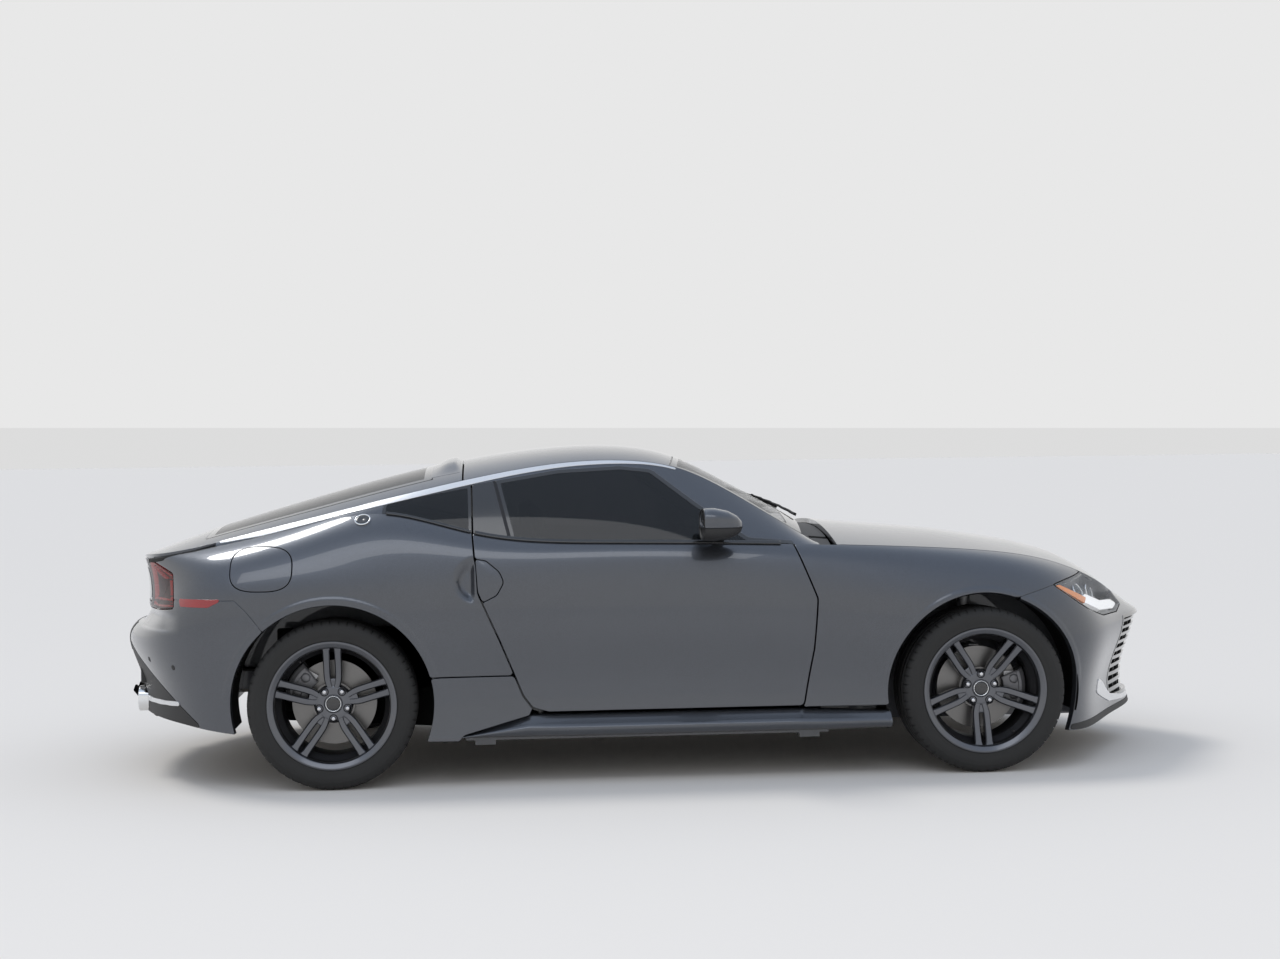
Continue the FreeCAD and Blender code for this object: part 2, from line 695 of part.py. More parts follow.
eye = rod(5.5, V(0, -PIN_DEPTH, -6.5), V(0, -PIN_DEPTH, 6.5))
bracket = eye.fuse([block(-4.5, 4.5, -28, -PIN_DEPTH, -6.5, 6.5), block(-4.5, 24, -28, -22, -6.5, 6.5),
                    block(16, 24, -28, -6, -6.5, 6.5)])
bracket = bracket.cut(rod(LID_PIN + size("runningFit"), V(0, -PIN_DEPTH, -10), V(0, -PIN_DEPTH, 10)))
knuckles = [block(-5, 5, -13, -5, 8, 17), block(-5, 5, -13, -5, -17, -8),
            rod(LID_PIN, V(0, -PIN_DEPTH, -16), V(0, -PIN_DEPTH, 16))]
lid = lid.cut(onLid(block(-9, 14, -30, -1.8, -8, 8)))
lid = biggest(lid.fuse([onLid(shape) for shape in knuckles]))
piece("fuel_lid", mirrored(lid))
pair("quarter_panel", quarter, mirrored(biggest(quarterCut.fuse(onLid(bracket)))))

HATCH_EDGE = 395
drop = [(-1885, 705), (-2300, 705), (-2300, 1000), (-1885, 1000)]
dropHole = block(bodyX(-2300), bodyX(-1885), -1, bodyY(HATCH_EDGE + 5), bodyZ(700), bodyZ(1000))
tail = thin.common(prismSide(ARCH_SEAM + [(-2300, 731), (-2300, 100), (-1283, 100)], -1)).cut(archRear)
tail = tail.cut(prismSide(tailRing, bodyY(HATCH_EDGE + 5))).cut(dropHole)
valance = prismSide([(-2400, 540), (-2142, 535), (-2000, 335), (-1800, 252), (-1800, 0), (-2400, 0)], -1)
tail = bothSides(biggest(tail))
PIPE_Y, PIPE_Z = 330, 300
diffuser = biggest(tail.common(valance.fuse(mirrored(valance))))
piece("rear_bumper", biggest(tail.cut(valance.fuse(mirrored(valance)))))
for y in (PIPE_Y, -PIPE_Y):
    diffuser = diffuser.cut(rod(48, V(bodyX(-1900), y, PIPE_Z), V(bodyX(-2300), y, PIPE_Z)))
piece("diffuser", biggest(diffuser))
besideHatch = outsideOf(beltTop, bodyX(-1700), bodyX(-2100), FIT)
rearLamp = biggest(thin.common(prismSide(tailRing, bodyY(HATCH_EDGE + 5))).common(besideHatch))
piece("tail_lights", Part.makeCompound([rearLamp, mirrored(rearLamp)]))

# Glass side, roof, hatch and hood.
sidePatch = sideSurface()
WINDOW = [(522, 880), (522, 923), (344, 938), (150, 1074), (-25, 1212), (-150, 1226), (-400, 1214),
          (-760, 1156), (-1090, 1098), (-1090, 880)]
rail = patchSlab(sidePatch, size("railWall")).common(outsideOf(roofEdge, bodyX(632), bodyX(-1740), FIT))
rail = biggest(rail.cut(prismSide(WINDOW)))
piece("roof_rails", Part.makeCompound([rail, mirrored(rail)]))
sideGlass = patchSlab(sidePatch, size("glassWall"))
doorGlass = [(514, 880), (514, 915), (344, 929), (153, 1064), (-27, 1203), (-150, 1218), (-400, 1206),
             (-735, 1152), (-722, 880)]
pair("door_glass", biggest(sideGlass.common(prismSide(doorGlass))))
quarterGlass = biggest(sideGlass.common(prismSide(
    [(-742, 880), (-755, 1156), (-760, 1155.6), (-1089, 1097.6), (-1089, 880)])))
piece("quarter_windows", Part.makeCompound([quarterGlass, mirrored(quarterGlass)]))

roofSlab = slabOf(topPoles, topSurface, size("roofWall"))
screenSlab = slabOf(topPoles, topSurface, size("glassWall"))
splitX, headerX, cowlX, hoodBackX = bodyX(-775), bodyX(52), bodyX(575), bodyX(690)
HATCH_GAP, FRAME, GLASS_FRONT, GLASS_BACK = 6, 95, -900, -1800
roof = biggest(roofSlab.common(planPrism(headerX, splitX, 2 * FIT, frontBow=55)))
hatch = roofSlab.common(planPrism(splitX - HATCH_GAP, bodyX(-2102), GAP))
hatch = biggest(hatch.cut(planPrism(bodyX(GLASS_FRONT), bodyX(GLASS_BACK), FRAME)))
dropPanel = thin.common(prismSide(drop, -1)).common(block(-3000, 0, -1, bodyY(HATCH_EDGE), 0, HIGH))
hatch = biggest(hatch.fuse(bothSides(biggest(dropPanel))))

# The hatch swings on two pins under its front edge; their brackets reach back from the roof.
hatchPinX = splitX - 40
hatchPinZ = atX(roofLine, hatchPinX).z - 15
HATCH_PIN, HATCH_PIN_Y, HATCH_EYE = 3, 150, 5.5
slotRoof = swept(topSurface, 60, V(0, 0, -1))
slotRoof.translate(V(0, 0, -4.5))
for hand in (1, -1):
    y = hand * HATCH_PIN_Y
    neck = [V(hatchPinX + a, y - 5.5, hatchPinZ + b) for a, b in (
        (-5, 0), (5, 0), (5, -34), (45, -34), (45, 8), (57, 8), (57, -46), (-5, -46))]
    neck = ringPrism(neck, V(0, 11, 0)).fuse(rod(HATCH_EYE, V(hatchPinX, y - 5.5, hatchPinZ),
                                                V(hatchPinX, y + 5.5, hatchPinZ)))
    boreEnds = V(hatchPinX, y - 9, hatchPinZ), V(hatchPinX, y + 9, hatchPinZ)
    roof = roof.fuse(neck.cut(rod(HATCH_PIN + size("runningFit"), *boreEnds)))
    slot = slotRoof.common(block(hatchPinX - 9, splitX + 1, y - 7, y + 7, hatchPinZ - 60, hatchPinZ + 60))
    pin = rod(HATCH_PIN, V(hatchPinX, y - 16, hatchPinZ), V(hatchPinX, y + 16, hatchPinZ))
    hatch = hatch.cut(slot).fuse(pin)
piece("roof_panel", biggest(roof))
piece("hatch", biggest(hatch))
screen = screenSlab.common(planPrism(cowlX, headerX - 40, 2 * FIT, frontBow=30))
piece("windscreen", biggest(screen.cut(roof)))
hatchGlass = screenSlab.common(planPrism(bodyX(GLASS_FRONT) - FIT, bodyX(GLASS_BACK) + FIT, FRAME + FIT))
piece("hatch_glass", biggest(hatchGlass))

hoodSlab = swept(hoodSurface(), size("hoodWall"), V(0, 0, -1))
hood = biggest(hoodSlab.common(hoodPlan(hoodBackX, GAP, 30)))
# The hood swings on two pins under the cowl, behind its rear edge.
hoodPinX, hoodPinZ, hoodPinY, HOOD_PIN = bodyX(640), bodyZ(890), bodyY(560), 5
LEG_HALF = 6
for y in (hoodPinY, -hoodPinY):
    leg = [V(hoodPinX + a, y - LEG_HALF, hoodPinZ + b) for a, b in (
        (-6, -8), (60, -11), (78, 0), (78, 54), (60, 54), (58, 9), (-6, 9))]
    leg = ringPrism(leg, V(0, 2 * LEG_HALF, 0))
    leg = leg.fuse(rod(HOOD_PIN, V(hoodPinX, y - 18, hoodPinZ), V(hoodPinX, y + 18, hoodPinZ)))
    below = hoodSlab.copy()
    below.translate(V(0, 0, size("hoodWall") - 4))
    hood = hood.fuse(biggest(leg.cut(below)))
piece("hood", biggest(hood))

cowlSlab = hoodSlab.copy()
cowlSlab.translate(V(0, 0, -22))
cowl = cowlWhole = cowlSlab.common(planPrism(hoodBackX - GAP, cowlX + 2, 8, frontBow=30, backBow=30))
for y in (hoodPinY, -hoodPinY):
    cowl = cowl.cut(block(hoodPinX - 14, hoodPinX + 120, y - 21, y + 21, 700, 1100))
cowl = biggest(cowl)
piece("cowl_panel", cowl)


# Structure under the skin.
floorZ, floorTop = size("floorHeight"), size("floorHeight") + size("floorWall")
bayY, wallX, rearX, bootZ = size("bayHalfWidth"), size("bulkheadX"), size("rearWallX"), size("bootHeight")
tunnelY, tunnelTop, skin = size("tunnelWidth") / 2, floorTop + size("tunnelHeight"), size("sheetWall")
bayX0, bayX1 = wallX + size("bulkheadWall"), bodyX(1850)
floorY, plate = bodyY(800), size("floorWall")
OVER = 1

cabinFloor = box("CabinFloor", rearX, wallX, -floorY, floorY, floorZ, floorTop)
bayFloor = box("BayFloor", wallX, bayX1 + 40, -bayY, bayY, floorZ, floorTop)
tunnelOutside = box("TunnelOutside", rearX, wallX, -tunnelY, tunnelY, floorZ, tunnelTop)
tunnelInside = box("TunnelInside", rearX - OVER, wallX + OVER, skin - tunnelY, tunnelY - skin,
                   floorZ - OVER, tunnelTop - skin)
jackPads = []
for i, (x, hand) in enumerate(((580, 1), (580, -1), (-700, 1), (-700, -1))):
    jackPads.append(box("JackPad%d" % i, bodyX(x) - 40, bodyX(x) + 40, hand * bodyY(760) - 30,
                        hand * bodyY(760) + 30, floorZ - 20, floorZ))
floorPan = fused("FloorOutside", cabinFloor, bayFloor, tunnelOutside, *jackPads)
keep("floor_pan", cutBy("floor_pan", floorPan, tunnelInside))

rearWall = box("RearWall", rearX + OVER, rearX + plate, -bodyY(740), bodyY(740), floorTop, bootZ + plate)
rearWallCut = box("RearWallCut", rearX, rearX + plate + OVER, -tunnelY - FIT, tunnelY + FIT,
                  floorTop - OVER, tunnelTop + FIT)
bootDeck = box("BootDeck", bodyX(-2040), rearX + OVER, -bayY, bayY, bootZ, bootZ + plate)
keep("boot_floor", fused("boot_floor", cutBy("RearWallPlate", rearWall, rearWallCut), bootDeck))
DOC.recompute()


def inside(shape):
    """The part of a shape that lies within the outer panels."""
    return biggest(shape.cut(thin))


COWL_LOW = 1010
bulkhead = block(wallX, bayX0, 0, WIDE, floorTop, bodyZ(890))
bulkhead = inside(bulkhead.cut(block(wallX - OVER, bayX0 + OVER, -OVER, tunnelY, floorTop - OVER, tunnelTop)))
bulkhead = biggest(bulkhead.cut(cowlWhole))
bulkhead = biggest(bulkhead.cut(block(0, WIDE, 640, WIDE, 0, bodyZ(SILL_TOP))))
bulkhead = bulkhead.cut(block(wallX - OVER, bayX0 + OVER, hoodPinY - 8, hoodPinY + 8, hoodPinZ - 16, COWL_LOW))
hingeSide = block(bodyX(540), wallX, 650, 700, bodyZ(SILL_TOP), 880)
for z in HINGE_HEIGHTS:
    arm = [V(hingeX + a, y, z - ARM_HALF) for a, y in (
        (-12, hingeY), (-8, 715), (20, 675), (bodyX(560) - hingeX, 675), (bodyX(560) - hingeX, 698), (34, 698),
        (12, 722), (12, hingeY))]
    arm = ringPrism(arm, V(0, 0, 2 * ARM_HALF))
    eyeAt = V(hingeX, hingeY, z - ARM_HALF)
    hingeSide = hingeSide.fuse([arm, rod(EYE, eyeAt, eyeAt + V(0, 0, 2 * ARM_HALF))])
hingeSide = hingeSide.cut(rod(hingePin + size("runningFit"), V(hingeX, hingeY, 0), V(hingeX, hingeY, COWL_LOW)))
for a, b in ((-18, -LEG_HALF - FIT), (LEG_HALF + FIT, 18)):
    lug = block(hoodPinX - 11, wallX + 2, hoodPinY + a, hoodPinY + b, hoodPinZ - 12, hoodPinZ + 11)
    hingeSide = hingeSide.fuse(lug)
hingeSide = hingeSide.cut(rod(HOOD_PIN + size("runningFit"), V(hoodPinX, hoodPinY - 30, hoodPinZ),
                              V(hoodPinX, hoodPinY + 30, hoodPinZ)))
piece("bulkhead", bothSides(bulkhead.fuse(hingeSide)))

# Heights of the suspension arms, which pass through the sides of the engine bay.
armZ0, armZ1, armHalf, armWall = size("armLow"), size("armHigh"), 20, 16
WING = 8
wing = block(bayX0, bayX1, bayY - WING, bayY, floorTop, 790)
wing = wing.cut(block(FRONT_X - armHalf - FIT, FRONT_X + armHalf + FIT, 0, WIDE,
                      armZ0 - FIT, armZ0 + armWall + FIT))
wing = wing.cut(block(bodyX(1600), bayX1 + OVER, 0, WIDE, 690, COWL_LOW))
wing = wing.cut(block(bodyX(1760), bayX1 + OVER, 0, WIDE, 640, COWL_LOW))
shelf = inside(block(bodyX(720), bodyX(1500), bayY - WING, 900, 790, 802))
radiatorPanel = block(bayX1 - 12, bayX1, 0, bayY, floorTop, 640).cut(
    block(bayX1 - 13, bayX1 + OVER, -OVER, 380, 240, 590))
bay = bothSides(wing.fuse([shelf, radiatorPanel]))
piece("engine_bay", bay)

house = rod(ARCH_R + 13, V(REAR_X, bayY - 6, AXLE_Z), V(REAR_X, 894, AXLE_Z))
house = house.cut(rod(ARCH_R + 7, V(REAR_X, bayY, AXLE_Z), V(REAR_X, 900, AXLE_Z)))
house = house.cut(block(-3000, 0, 0, WIDE, 0, AXLE_Z + 20)).cut(block(rearX - OVER, 0, 0, WIDE, 0, 1000))
house = inside(house.cut(pieces["boot_floor"].Shape))
piece("rear_wheelhouses", Part.makeCompound([house, mirrored(house)]))

rearBeam = block(bodyX(-2130), bodyX(-2055), 0, 420, 470, 530).fuse(
    block(bodyX(-2055), bodyX(-2040), 0, 420, 360, 640))
piece("rear_beam", bothSides(inside(rearBeam)))
frontBeam = inside(block(bayX1, bodyX(2160), 0, 440, 590, 640))
piece("front_beam", bothSides(frontBeam.cut(hood)))
DOC.recompute()

engineHalf = size("engineWidth") / 2
keep("engine_block", box("engine_block", bodyX(800), bodyX(1480), -engineHalf, engineHalf,
                         size("engineBottom"), size("engineTop")))

# Front suspension: cross member, two arms a side that hold the kingpins, and the struts.
kingY, kingPin, pinHalf = size("kingpinY"), size("kingpinRadius"), 12
sideParts = [
    box("LowerArm", FRONT_X - armHalf, FRONT_X + armHalf, 300, kingY + pinHalf, armZ0, armZ0 + armWall),
    cylinder("LowerPin", "z", kingPin, 20, FRONT_X, kingY, armZ0 + armWall),
    box("UpperArm", FRONT_X - armHalf, FRONT_X + armHalf, bayY, kingY + pinHalf, armZ1 - 14, armZ1),
    cylinder("UpperPin", "z", kingPin, 20, FRONT_X, kingY, armZ1 - 34),
    cylinder("Strut", "z", 26, size("engineTop") + 30 - armZ0 - armWall, FRONT_X, 560, armZ0 + armWall)]
leftSide = fused("FrontSuspensionSide", *sideParts)
crossMember = box("CrossMember", FRONT_X - 90, FRONT_X + 90, -320, 320, floorTop, 260)
keep("front_suspension", fused("front_suspension", crossMember, leftSide,
                               mirror("FrontSuspensionRight", leftSide)))

# A mounting face of a wheel lies this far out; the disc hangs behind it.
mountFront = size("trackFront") / 2 + size("wheelInset")
mountRear = size("trackRear") / 2 + size("wheelInset") + 5
discOut, discWall, discR = size("discInset"), size("discWall"), size("discRadius")
spindleR = size("spindleRadius") - size("runningFit")
discBack = discOut + discWall


def caliper(label, axleX, mount, turn):
    """Brake caliper of the left wheel: a block with a slot that straddles the disc."""
    pad = box(label + "Pad", 105, 182, -discBack - 22, 20 - discOut, -62, 62)
    rim = cylinder(label + "Rim", "y", 192, 200, 0, -discBack - 60, 0)
    slot = cylinder(label + "Slot", "y", discR + 6, discWall + 2, 0, -discBack - 1, 0)
    body = DOC.addObject("Part::MultiCommon", label + "Body")
    body.Shapes = [pad, rim]
    arm = box(label + "Arm", 20, 120, -discBack - 22, -discBack - 7, -34, 34)
    whole = fused(label, cutBy(label + "Slotted", body, slot), arm)
    whole.Placement = FreeCAD.Placement(V(0, 0, 0), FreeCAD.Rotation(V(0, 1, 0), turn))
    hold(whole, {"Placement.Base.x": axleX, "Placement.Base.y": mount, "Placement.Base.z": AXLE_Z})
    return whole


carrierEnd = mountFront - discBack - 8
pinTop, pinFoot = armZ1 - 14 - FIT, armZ0 + armWall + FIT
knuckleBody = fused(
    "KnuckleBody",
    cylinder("Carrier", "y", size("hubCarrier"), carrierEnd - kingY + 30, FRONT_X, kingY - 30, AXLE_Z),
    cylinder("FrontSpindle", "y", spindleR, mountFront + 10 - kingY, FRONT_X, kingY, AXLE_Z),
    cylinder("KingpinPost", "z", 14, pinTop - pinFoot, FRONT_X, kingY, pinFoot),
    caliper("FrontCaliper", FRONT_X, mountFront, 0))
boreR = kingPin + size("runningFit")
leftKnuckle = keep("front_knuckle_left", cutBy(
    "front_knuckle_left", knuckleBody,
    cylinder("LowerBore", "z", boreR, 21, FRONT_X, kingY, armZ0 + armWall),
    cylinder("UpperBore", "z", boreR, 22, FRONT_X, kingY, armZ1 - 35)))
keep("front_knuckle_right", mirror("front_knuckle_right", leftKnuckle))

rearEnd = mountRear - discBack - 8
rearSide = fused(
    "RearSuspensionSide",
    box("RearMount", REAR_X - 70, REAR_X + 70, 180, 260, 385, bootZ),
    box("RearArm", REAR_X - 30, REAR_X + 30, 300, 700, 285, 310),
    cylinder("RearCarrier", "y", size("hubCarrier"), rearEnd - 660, REAR_X, 660, AXLE_Z),
    cylinder("RearSpindle", "y", spindleR, mountRear + 10 - 690, REAR_X, 690, AXLE_Z),
    caliper("RearCaliper", REAR_X, mountRear, -150))
rearCasing = box("RearCasing", REAR_X - 90, REAR_X + 90, -320, 320, 285, 385)
keep("rear_suspension", fused("rear_suspension", rearCasing, rearSide, mirror("RearSuspensionRight", rearSide)))


def sketchOn(body, plane, label, *rings):
    """Sketch of closed outlines on a base plane of a body."""
    sketch = body.newObject("Sketcher::SketchObject", label)
    planes = {f.Role: f for f in body.Origin.OriginFeatures}
    sketch.AttachmentSupport = [(planes[plane], "")]
    sketch.MapMode = "FlatFace"
    for ring in rings:
        drawRing(sketch, ring)
    return sketch


def turned(body, label, ring):
    """Feature turned from an outline of (radius, height) about the body's own Z."""
    sketch = sketchOn(body, "XZ_Plane", label + "Profile", ring)
    feature = body.newObject("PartDesign::Revolution", label)
    feature.Profile = sketch
    feature.ReferenceAxis = (sketch, ["V_Axis"])
    feature.Angle = 360
    return feature


def wheelBody(label, placement, ring):
    body = DOC.addObject("PartDesign::Body", label)
    turned(body, label + "Turn", ring)
    body.Placement = placement
    return keep(label, body)


def addSpokes(body, label, hub):
    """Five double spokes, padded once and repeated round the axle, and the hub."""
    root, waist, end = size("spokeRoot"), size("spokeWaist"), size("spokeEnd")
    reach, half = bead - 3, size("slotHalf")
    outer = [(40, -root), (40, root), (120, waist), (reach, end), (reach, -end), (120, -waist)]
    window = [(92, -half + 1), (92, half - 1), (204, half + 1), (204, -half - 1)]
    sketch = sketchOn(body, "XY_Plane", label + "Spoke", outer, window)
    pad = body.newObject("PartDesign::Pad", label + "SpokePad")
    pad.Profile = sketch
    hold(pad, {"Length": size("spokeDepth")})
    pattern = body.newObject("PartDesign::PolarPattern", label + "Spokes")
    pattern.Originals = [pad]
    pattern.Axis = (sketch, ["N_Axis"])
    pattern.Angle = 360
    pattern.Occurrences = 5
    body.Tip = pattern
    body.Tip = turned(body, label + "Hub", hub)


# Wheels: each drawn about its own axle, mounting face at zero, the outside of the car above it.
bead, lip, rimWall, tread = size("beadRadius"), size("rimLip"), size("rimWall"), size("tyreRadius")
bore, well = size("spindleRadius"), size("wellRadius")
halfTyre, halfRim = size("tyreWidth") / 2, size("lipWidth") / 2
hat, tyreIn, cavity = size("hatRadius"), size("sideWall"), tread - size("treadWall")
SEAT = 7.5
for axle, x, mount in (("front", FRONT_X, mountFront), ("rear", REAR_X, mountRear)):
    middle = size("trackFront" if axle == "front" else "trackRear") / 2 - mount
    for hand, name in ((1, "left"), (-1, "right")):
        phase = FreeCAD.Rotation(V(0, 0, 1), hand * (90 if axle == "front" else -90))
        outward = FreeCAD.Rotation(V(1, 0, 0), -90 * hand)
        placement = FreeCAD.Placement(V(x, hand * mount, AXLE_Z), outward.multiply(phase))
        half = [(tread - 4, halfTyre - 20.5), (308, halfTyre - 5.5), (286, halfTyre), (lip + 4, halfRim - 3),
                (lip + 1, halfRim - 8), (bead + FIT, halfRim - 8), (bead + FIT, halfRim - 25),
                (lip + 6, halfRim - 21), (286, halfTyre - tyreIn), (300, halfTyre - 19),
                (cavity, halfTyre - 42)]
        crown = [(tread, middle - halfTyre + 42), (tread, middle + halfTyre - 42)]
        upper = [(r, middle + a) for r, a in half]
        lower = [(r, middle - a) for r, a in reversed(half)]
        wheelBody("tyre_%s_%s" % (axle, name), placement, crown + upper + lower)
        flange = halfRim - SEAT
        barrel = [(lip, middle - halfRim), (lip, middle - flange), (bead, middle - flange), (bead, middle - 88),
                  (well, middle - 70), (well, middle + 50), (bead, middle + 72), (bead, middle + flange),
                  (lip, middle + flange), (lip, middle + halfRim), (bead - 8, middle + halfRim),
                  (bead - 8, middle + 76), (well - rimWall, middle + 54), (well - rimWall, middle - 74),
                  (bead - rimWall, middle - 92), (bead - rimWall, middle - halfRim)]
        hub = [(bore, 0.3), (size("hubRadius"), 0.3), (size("hubRadius"), 16), (50, size("hubDepth")),
               (bore, size("hubDepth"))]
        label = "rim_%s_%s" % (axle, name)
        addSpokes(wheelBody(label, placement, barrel), label, hub)
        disc = [(bore, 0), (hat, 0), (hat, -discOut), (discR, -discOut), (discR, -discBack),
                (hat + 10, -discBack), (hat - 8, -discOut - 4), (hat - 8, -size("hatWall")),
                (bore, -size("hatWall"))]
        wheelBody("brake_disc_%s_%s" % (axle, name), placement, disc)
DOC.recompute()

# Cabin.
seatWide, seatY = size("seatWidth"), size("seatOffset")
seatSide = [(175, 300), (175, 420), (140, 445), (-200, 462), (-260, 500), (-330, 640), (-440, 950),
            (-462, 1050), (-490, 1075), (-545, 1060), (-545, 990), (-470, 480), (-420, 300)]
seatLine = [(bodyX(x), z) for x, z in seatSide]
seats = []
for hand, name in ((1, "Left"), (-1, "Right")):
    shell = profile("Seat" + name, seatLine, hand * seatY + seatWide / 2, seatWide)
    base = box("SeatBase" + name, bodyX(-380), bodyX(120), hand * seatY - 150, hand * seatY + 150,
               floorTop, 300)
    seats.append(fused("SeatWhole" + name, shell, base))
keep("seats", compound("seats", *seats))

dashLine = [(wallX, 560), (wallX, 850), (520, 880), (430, 868), (385, 800), (380, 720), (460, 600), (500, 560)]
columnRadius = size("columnRadius")
columnStart, columnAxis = V(400, 370, 745), V(-1, 0, 0.35).normalize()
columnTurn = FreeCAD.Rotation(V(0, 0, 1), columnAxis)


def onColumn(label, kind, reach, rules):
    """Round part of the steering gear, a distance up the column."""
    thing = DOC.addObject(kind, label)
    thing.Placement = FreeCAD.Placement(columnStart + columnAxis * reach, columnTurn)
    hold(thing, rules)
    return thing


columnBore = onColumn("ColumnBore", "Part::Cylinder", -60,
                      {"Radius": columnRadius + size("runningFit"), "Height": size("steeringRim") - 30})
keep("dashboard", cutBy("dashboard", profile("DashLine", dashLine, 640, 1280), columnBore))
consoleLow = box("ConsoleLow", -330, 380, -125, 125, tunnelTop, 540)
consoleHigh = box("ConsoleHigh", 380, 470, -125, 125, tunnelTop, 560)
keep("centre_console", fused("centre_console", consoleLow, consoleHigh))

WHEEL_REACH = 105
wheelCentre = columnStart + columnAxis * WHEEL_REACH
grip, rimR = size("steeringGrip"), size("steeringRim")
steering = [onColumn("SteeringRim", "Part::Torus", WHEEL_REACH, {"Radius1": rimR, "Radius2": grip}),
            onColumn("SteeringShaft", "Part::Cylinder", -55, {"Radius": columnRadius, "Height": 165}),
            onColumn("SteeringBoss", "Part::Cylinder", WHEEL_REACH - 15, {"Radius": 60, "Height": 30})]
across, upward = V(0, 1, 0), columnAxis.cross(V(0, 1, 0))
for i, towards in enumerate((across, across * -1, upward if upward.z < 0 else upward * -1)):
    bar = DOC.addObject("Part::Cylinder", "SteeringSpoke%d" % i)
    bar.Placement = FreeCAD.Placement(wheelCentre, FreeCAD.Rotation(V(0, 0, 1), towards))
    hold(bar, {"Radius": grip - 4, "Height": rimR})
    steering.append(bar)
keep("steering_wheel", fused("steering_wheel", *steering))

# Exhaust: silencer, two hangers, two tail pipes and the pipe under the tunnel.
exhaust = [box("Silencer", bodyX(-1960), bodyX(-1740), -380, 380, 235, 385),
           cylinder("FrontPipe", "x", 28, bodyX(600) - bodyX(-1760), bodyX(-1760), 0, 250)]
for hand, name in ((1, "Left"), (-1, "Right")):
    exhaust.append(box("Hanger" + name, bodyX(-1900), bodyX(-1840), hand * 250 - 20, hand * 250 + 20,
                       385, bootZ))
    exhaust.append(cylinder("TailPipe" + name, "x", 42, bodyX(-1960) - bodyX(-2125), bodyX(-2125),
                            hand * PIPE_Y, PIPE_Z))
keep("exhaust", fused("exhaust", *exhaust))


def mirrorRing(x, halfWide, halfTall, lift):
    """Closed rounded outline of the mirror housing at a place along the car."""
    ring = []
    for i in range(12):
        c, s = math.cos(2 * math.pi * i / 12), math.sin(2 * math.pi * i / 12)
        ring.append(V(bodyX(x), bodyY(925 + halfWide * math.copysign(abs(c) ** 0.7, c)),
                      bodyZ(lift + halfTall * math.copysign(abs(s) ** 0.8, s))))
    curve = Part.BSplineCurve()
    curve.interpolate(ring, PeriodicFlag=True)
    return Part.Wire(curve.toShape())


MIRROR = [(182, 88, 52, 1002), (215, 92, 56, 1001), (250, 82, 48, 998), (280, 58, 32, 994), (291, 26, 14, 990)]
housing = Part.makeLoft([mirrorRing(*section) for section in MIRROR], True)
arm = block(bodyX(195), bodyX(245), bodyY(800), bodyY(880), bodyZ(935), bodyZ(965))
pair("mirror", biggest(housing.fuse(arm).cut(door).cut(pieces["door_glass_left"].Shape)))
DOC.recompute()

for thing in DOC.Objects:
    if "Invalid" in thing.State or "Error" in thing.State:
        raise RuntimeError(thing.Label)
    shape = getattr(thing, "Shape", None)
    if isinstance(shape, Part.Shape) and thing.TypeId.startswith(("Part::", "PartDesign::Body")):
        if shape.isNull() or not shape.isValid():
            raise RuntimeError("bad shape " + thing.Label)
os.makedirs("parts", exist_ok=True)
for label, thing in pieces.items():
    shape = thing.Shape
    print("%-24s solids %d volume %.5f m3" % (label, len(shape.Solids), shape.Volume / 1e9))
    shape.exportStep("parts/" + label + ".step")
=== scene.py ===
import bpy
import math
import numpy as np
from mathutils import Matrix


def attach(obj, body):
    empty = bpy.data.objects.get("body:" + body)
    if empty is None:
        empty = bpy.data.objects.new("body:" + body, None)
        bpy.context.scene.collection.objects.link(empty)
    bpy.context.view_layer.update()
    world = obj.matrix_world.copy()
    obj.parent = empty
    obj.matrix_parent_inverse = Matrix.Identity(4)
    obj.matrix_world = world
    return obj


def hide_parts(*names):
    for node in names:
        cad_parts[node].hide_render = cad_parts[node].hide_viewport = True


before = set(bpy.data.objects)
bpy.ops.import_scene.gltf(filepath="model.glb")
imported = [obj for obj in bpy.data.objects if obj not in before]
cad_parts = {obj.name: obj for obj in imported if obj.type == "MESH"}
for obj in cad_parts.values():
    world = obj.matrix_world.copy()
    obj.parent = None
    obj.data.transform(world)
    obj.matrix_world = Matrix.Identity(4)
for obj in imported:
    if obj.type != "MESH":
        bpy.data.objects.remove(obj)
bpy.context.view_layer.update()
print("frame loaded", flush=True)


# Shapes are worked out in millimetres as arrays of points and turned into metres at the end.
def unit(v):
    return v / np.maximum(np.linalg.norm(v, axis=-1, keepdims=True), 1e-12)


# Smooth step from 0 at a to 1 at b.
def ease(value, a, b):
    t = np.clip((np.asarray(value, float) - a) / (b - a), 0, 1)
    return t * t * (3 - 2 * t)


# A shell is points, faces grouped by their number of corners, and one normal a point.
def shell(points, faces, normals=None):
    return dict(points=points, faces=[f for f in faces if len(f)], normals=normals)


# Several shells as one.
def joined(*shells):
    points, faces, normals, start = [], [], [], 0
    for s in shells:
        points.append(s["points"])
        normals.append(s["normals"] if s["normals"] is not None else np.zeros_like(s["points"]))
        faces += [f + start for f in s["faces"]]
        start += len(s["points"])
    withNormals = all(s["normals"] is not None for s in shells)
    return shell(np.concatenate(points), faces, np.concatenate(normals) if withNormals else None)


# The same shell on the other side of the car.
def mirrored(s):
    flip = np.array([1, -1, 1.0])
    normals = None if s["normals"] is None else s["normals"] * flip
    return shell(s["points"] * flip, [f[:, ::-1] for f in s["faces"]], normals)


# A shell together with its mirror image.
def bothSides(s):
    return joined(s, mirrored(s))


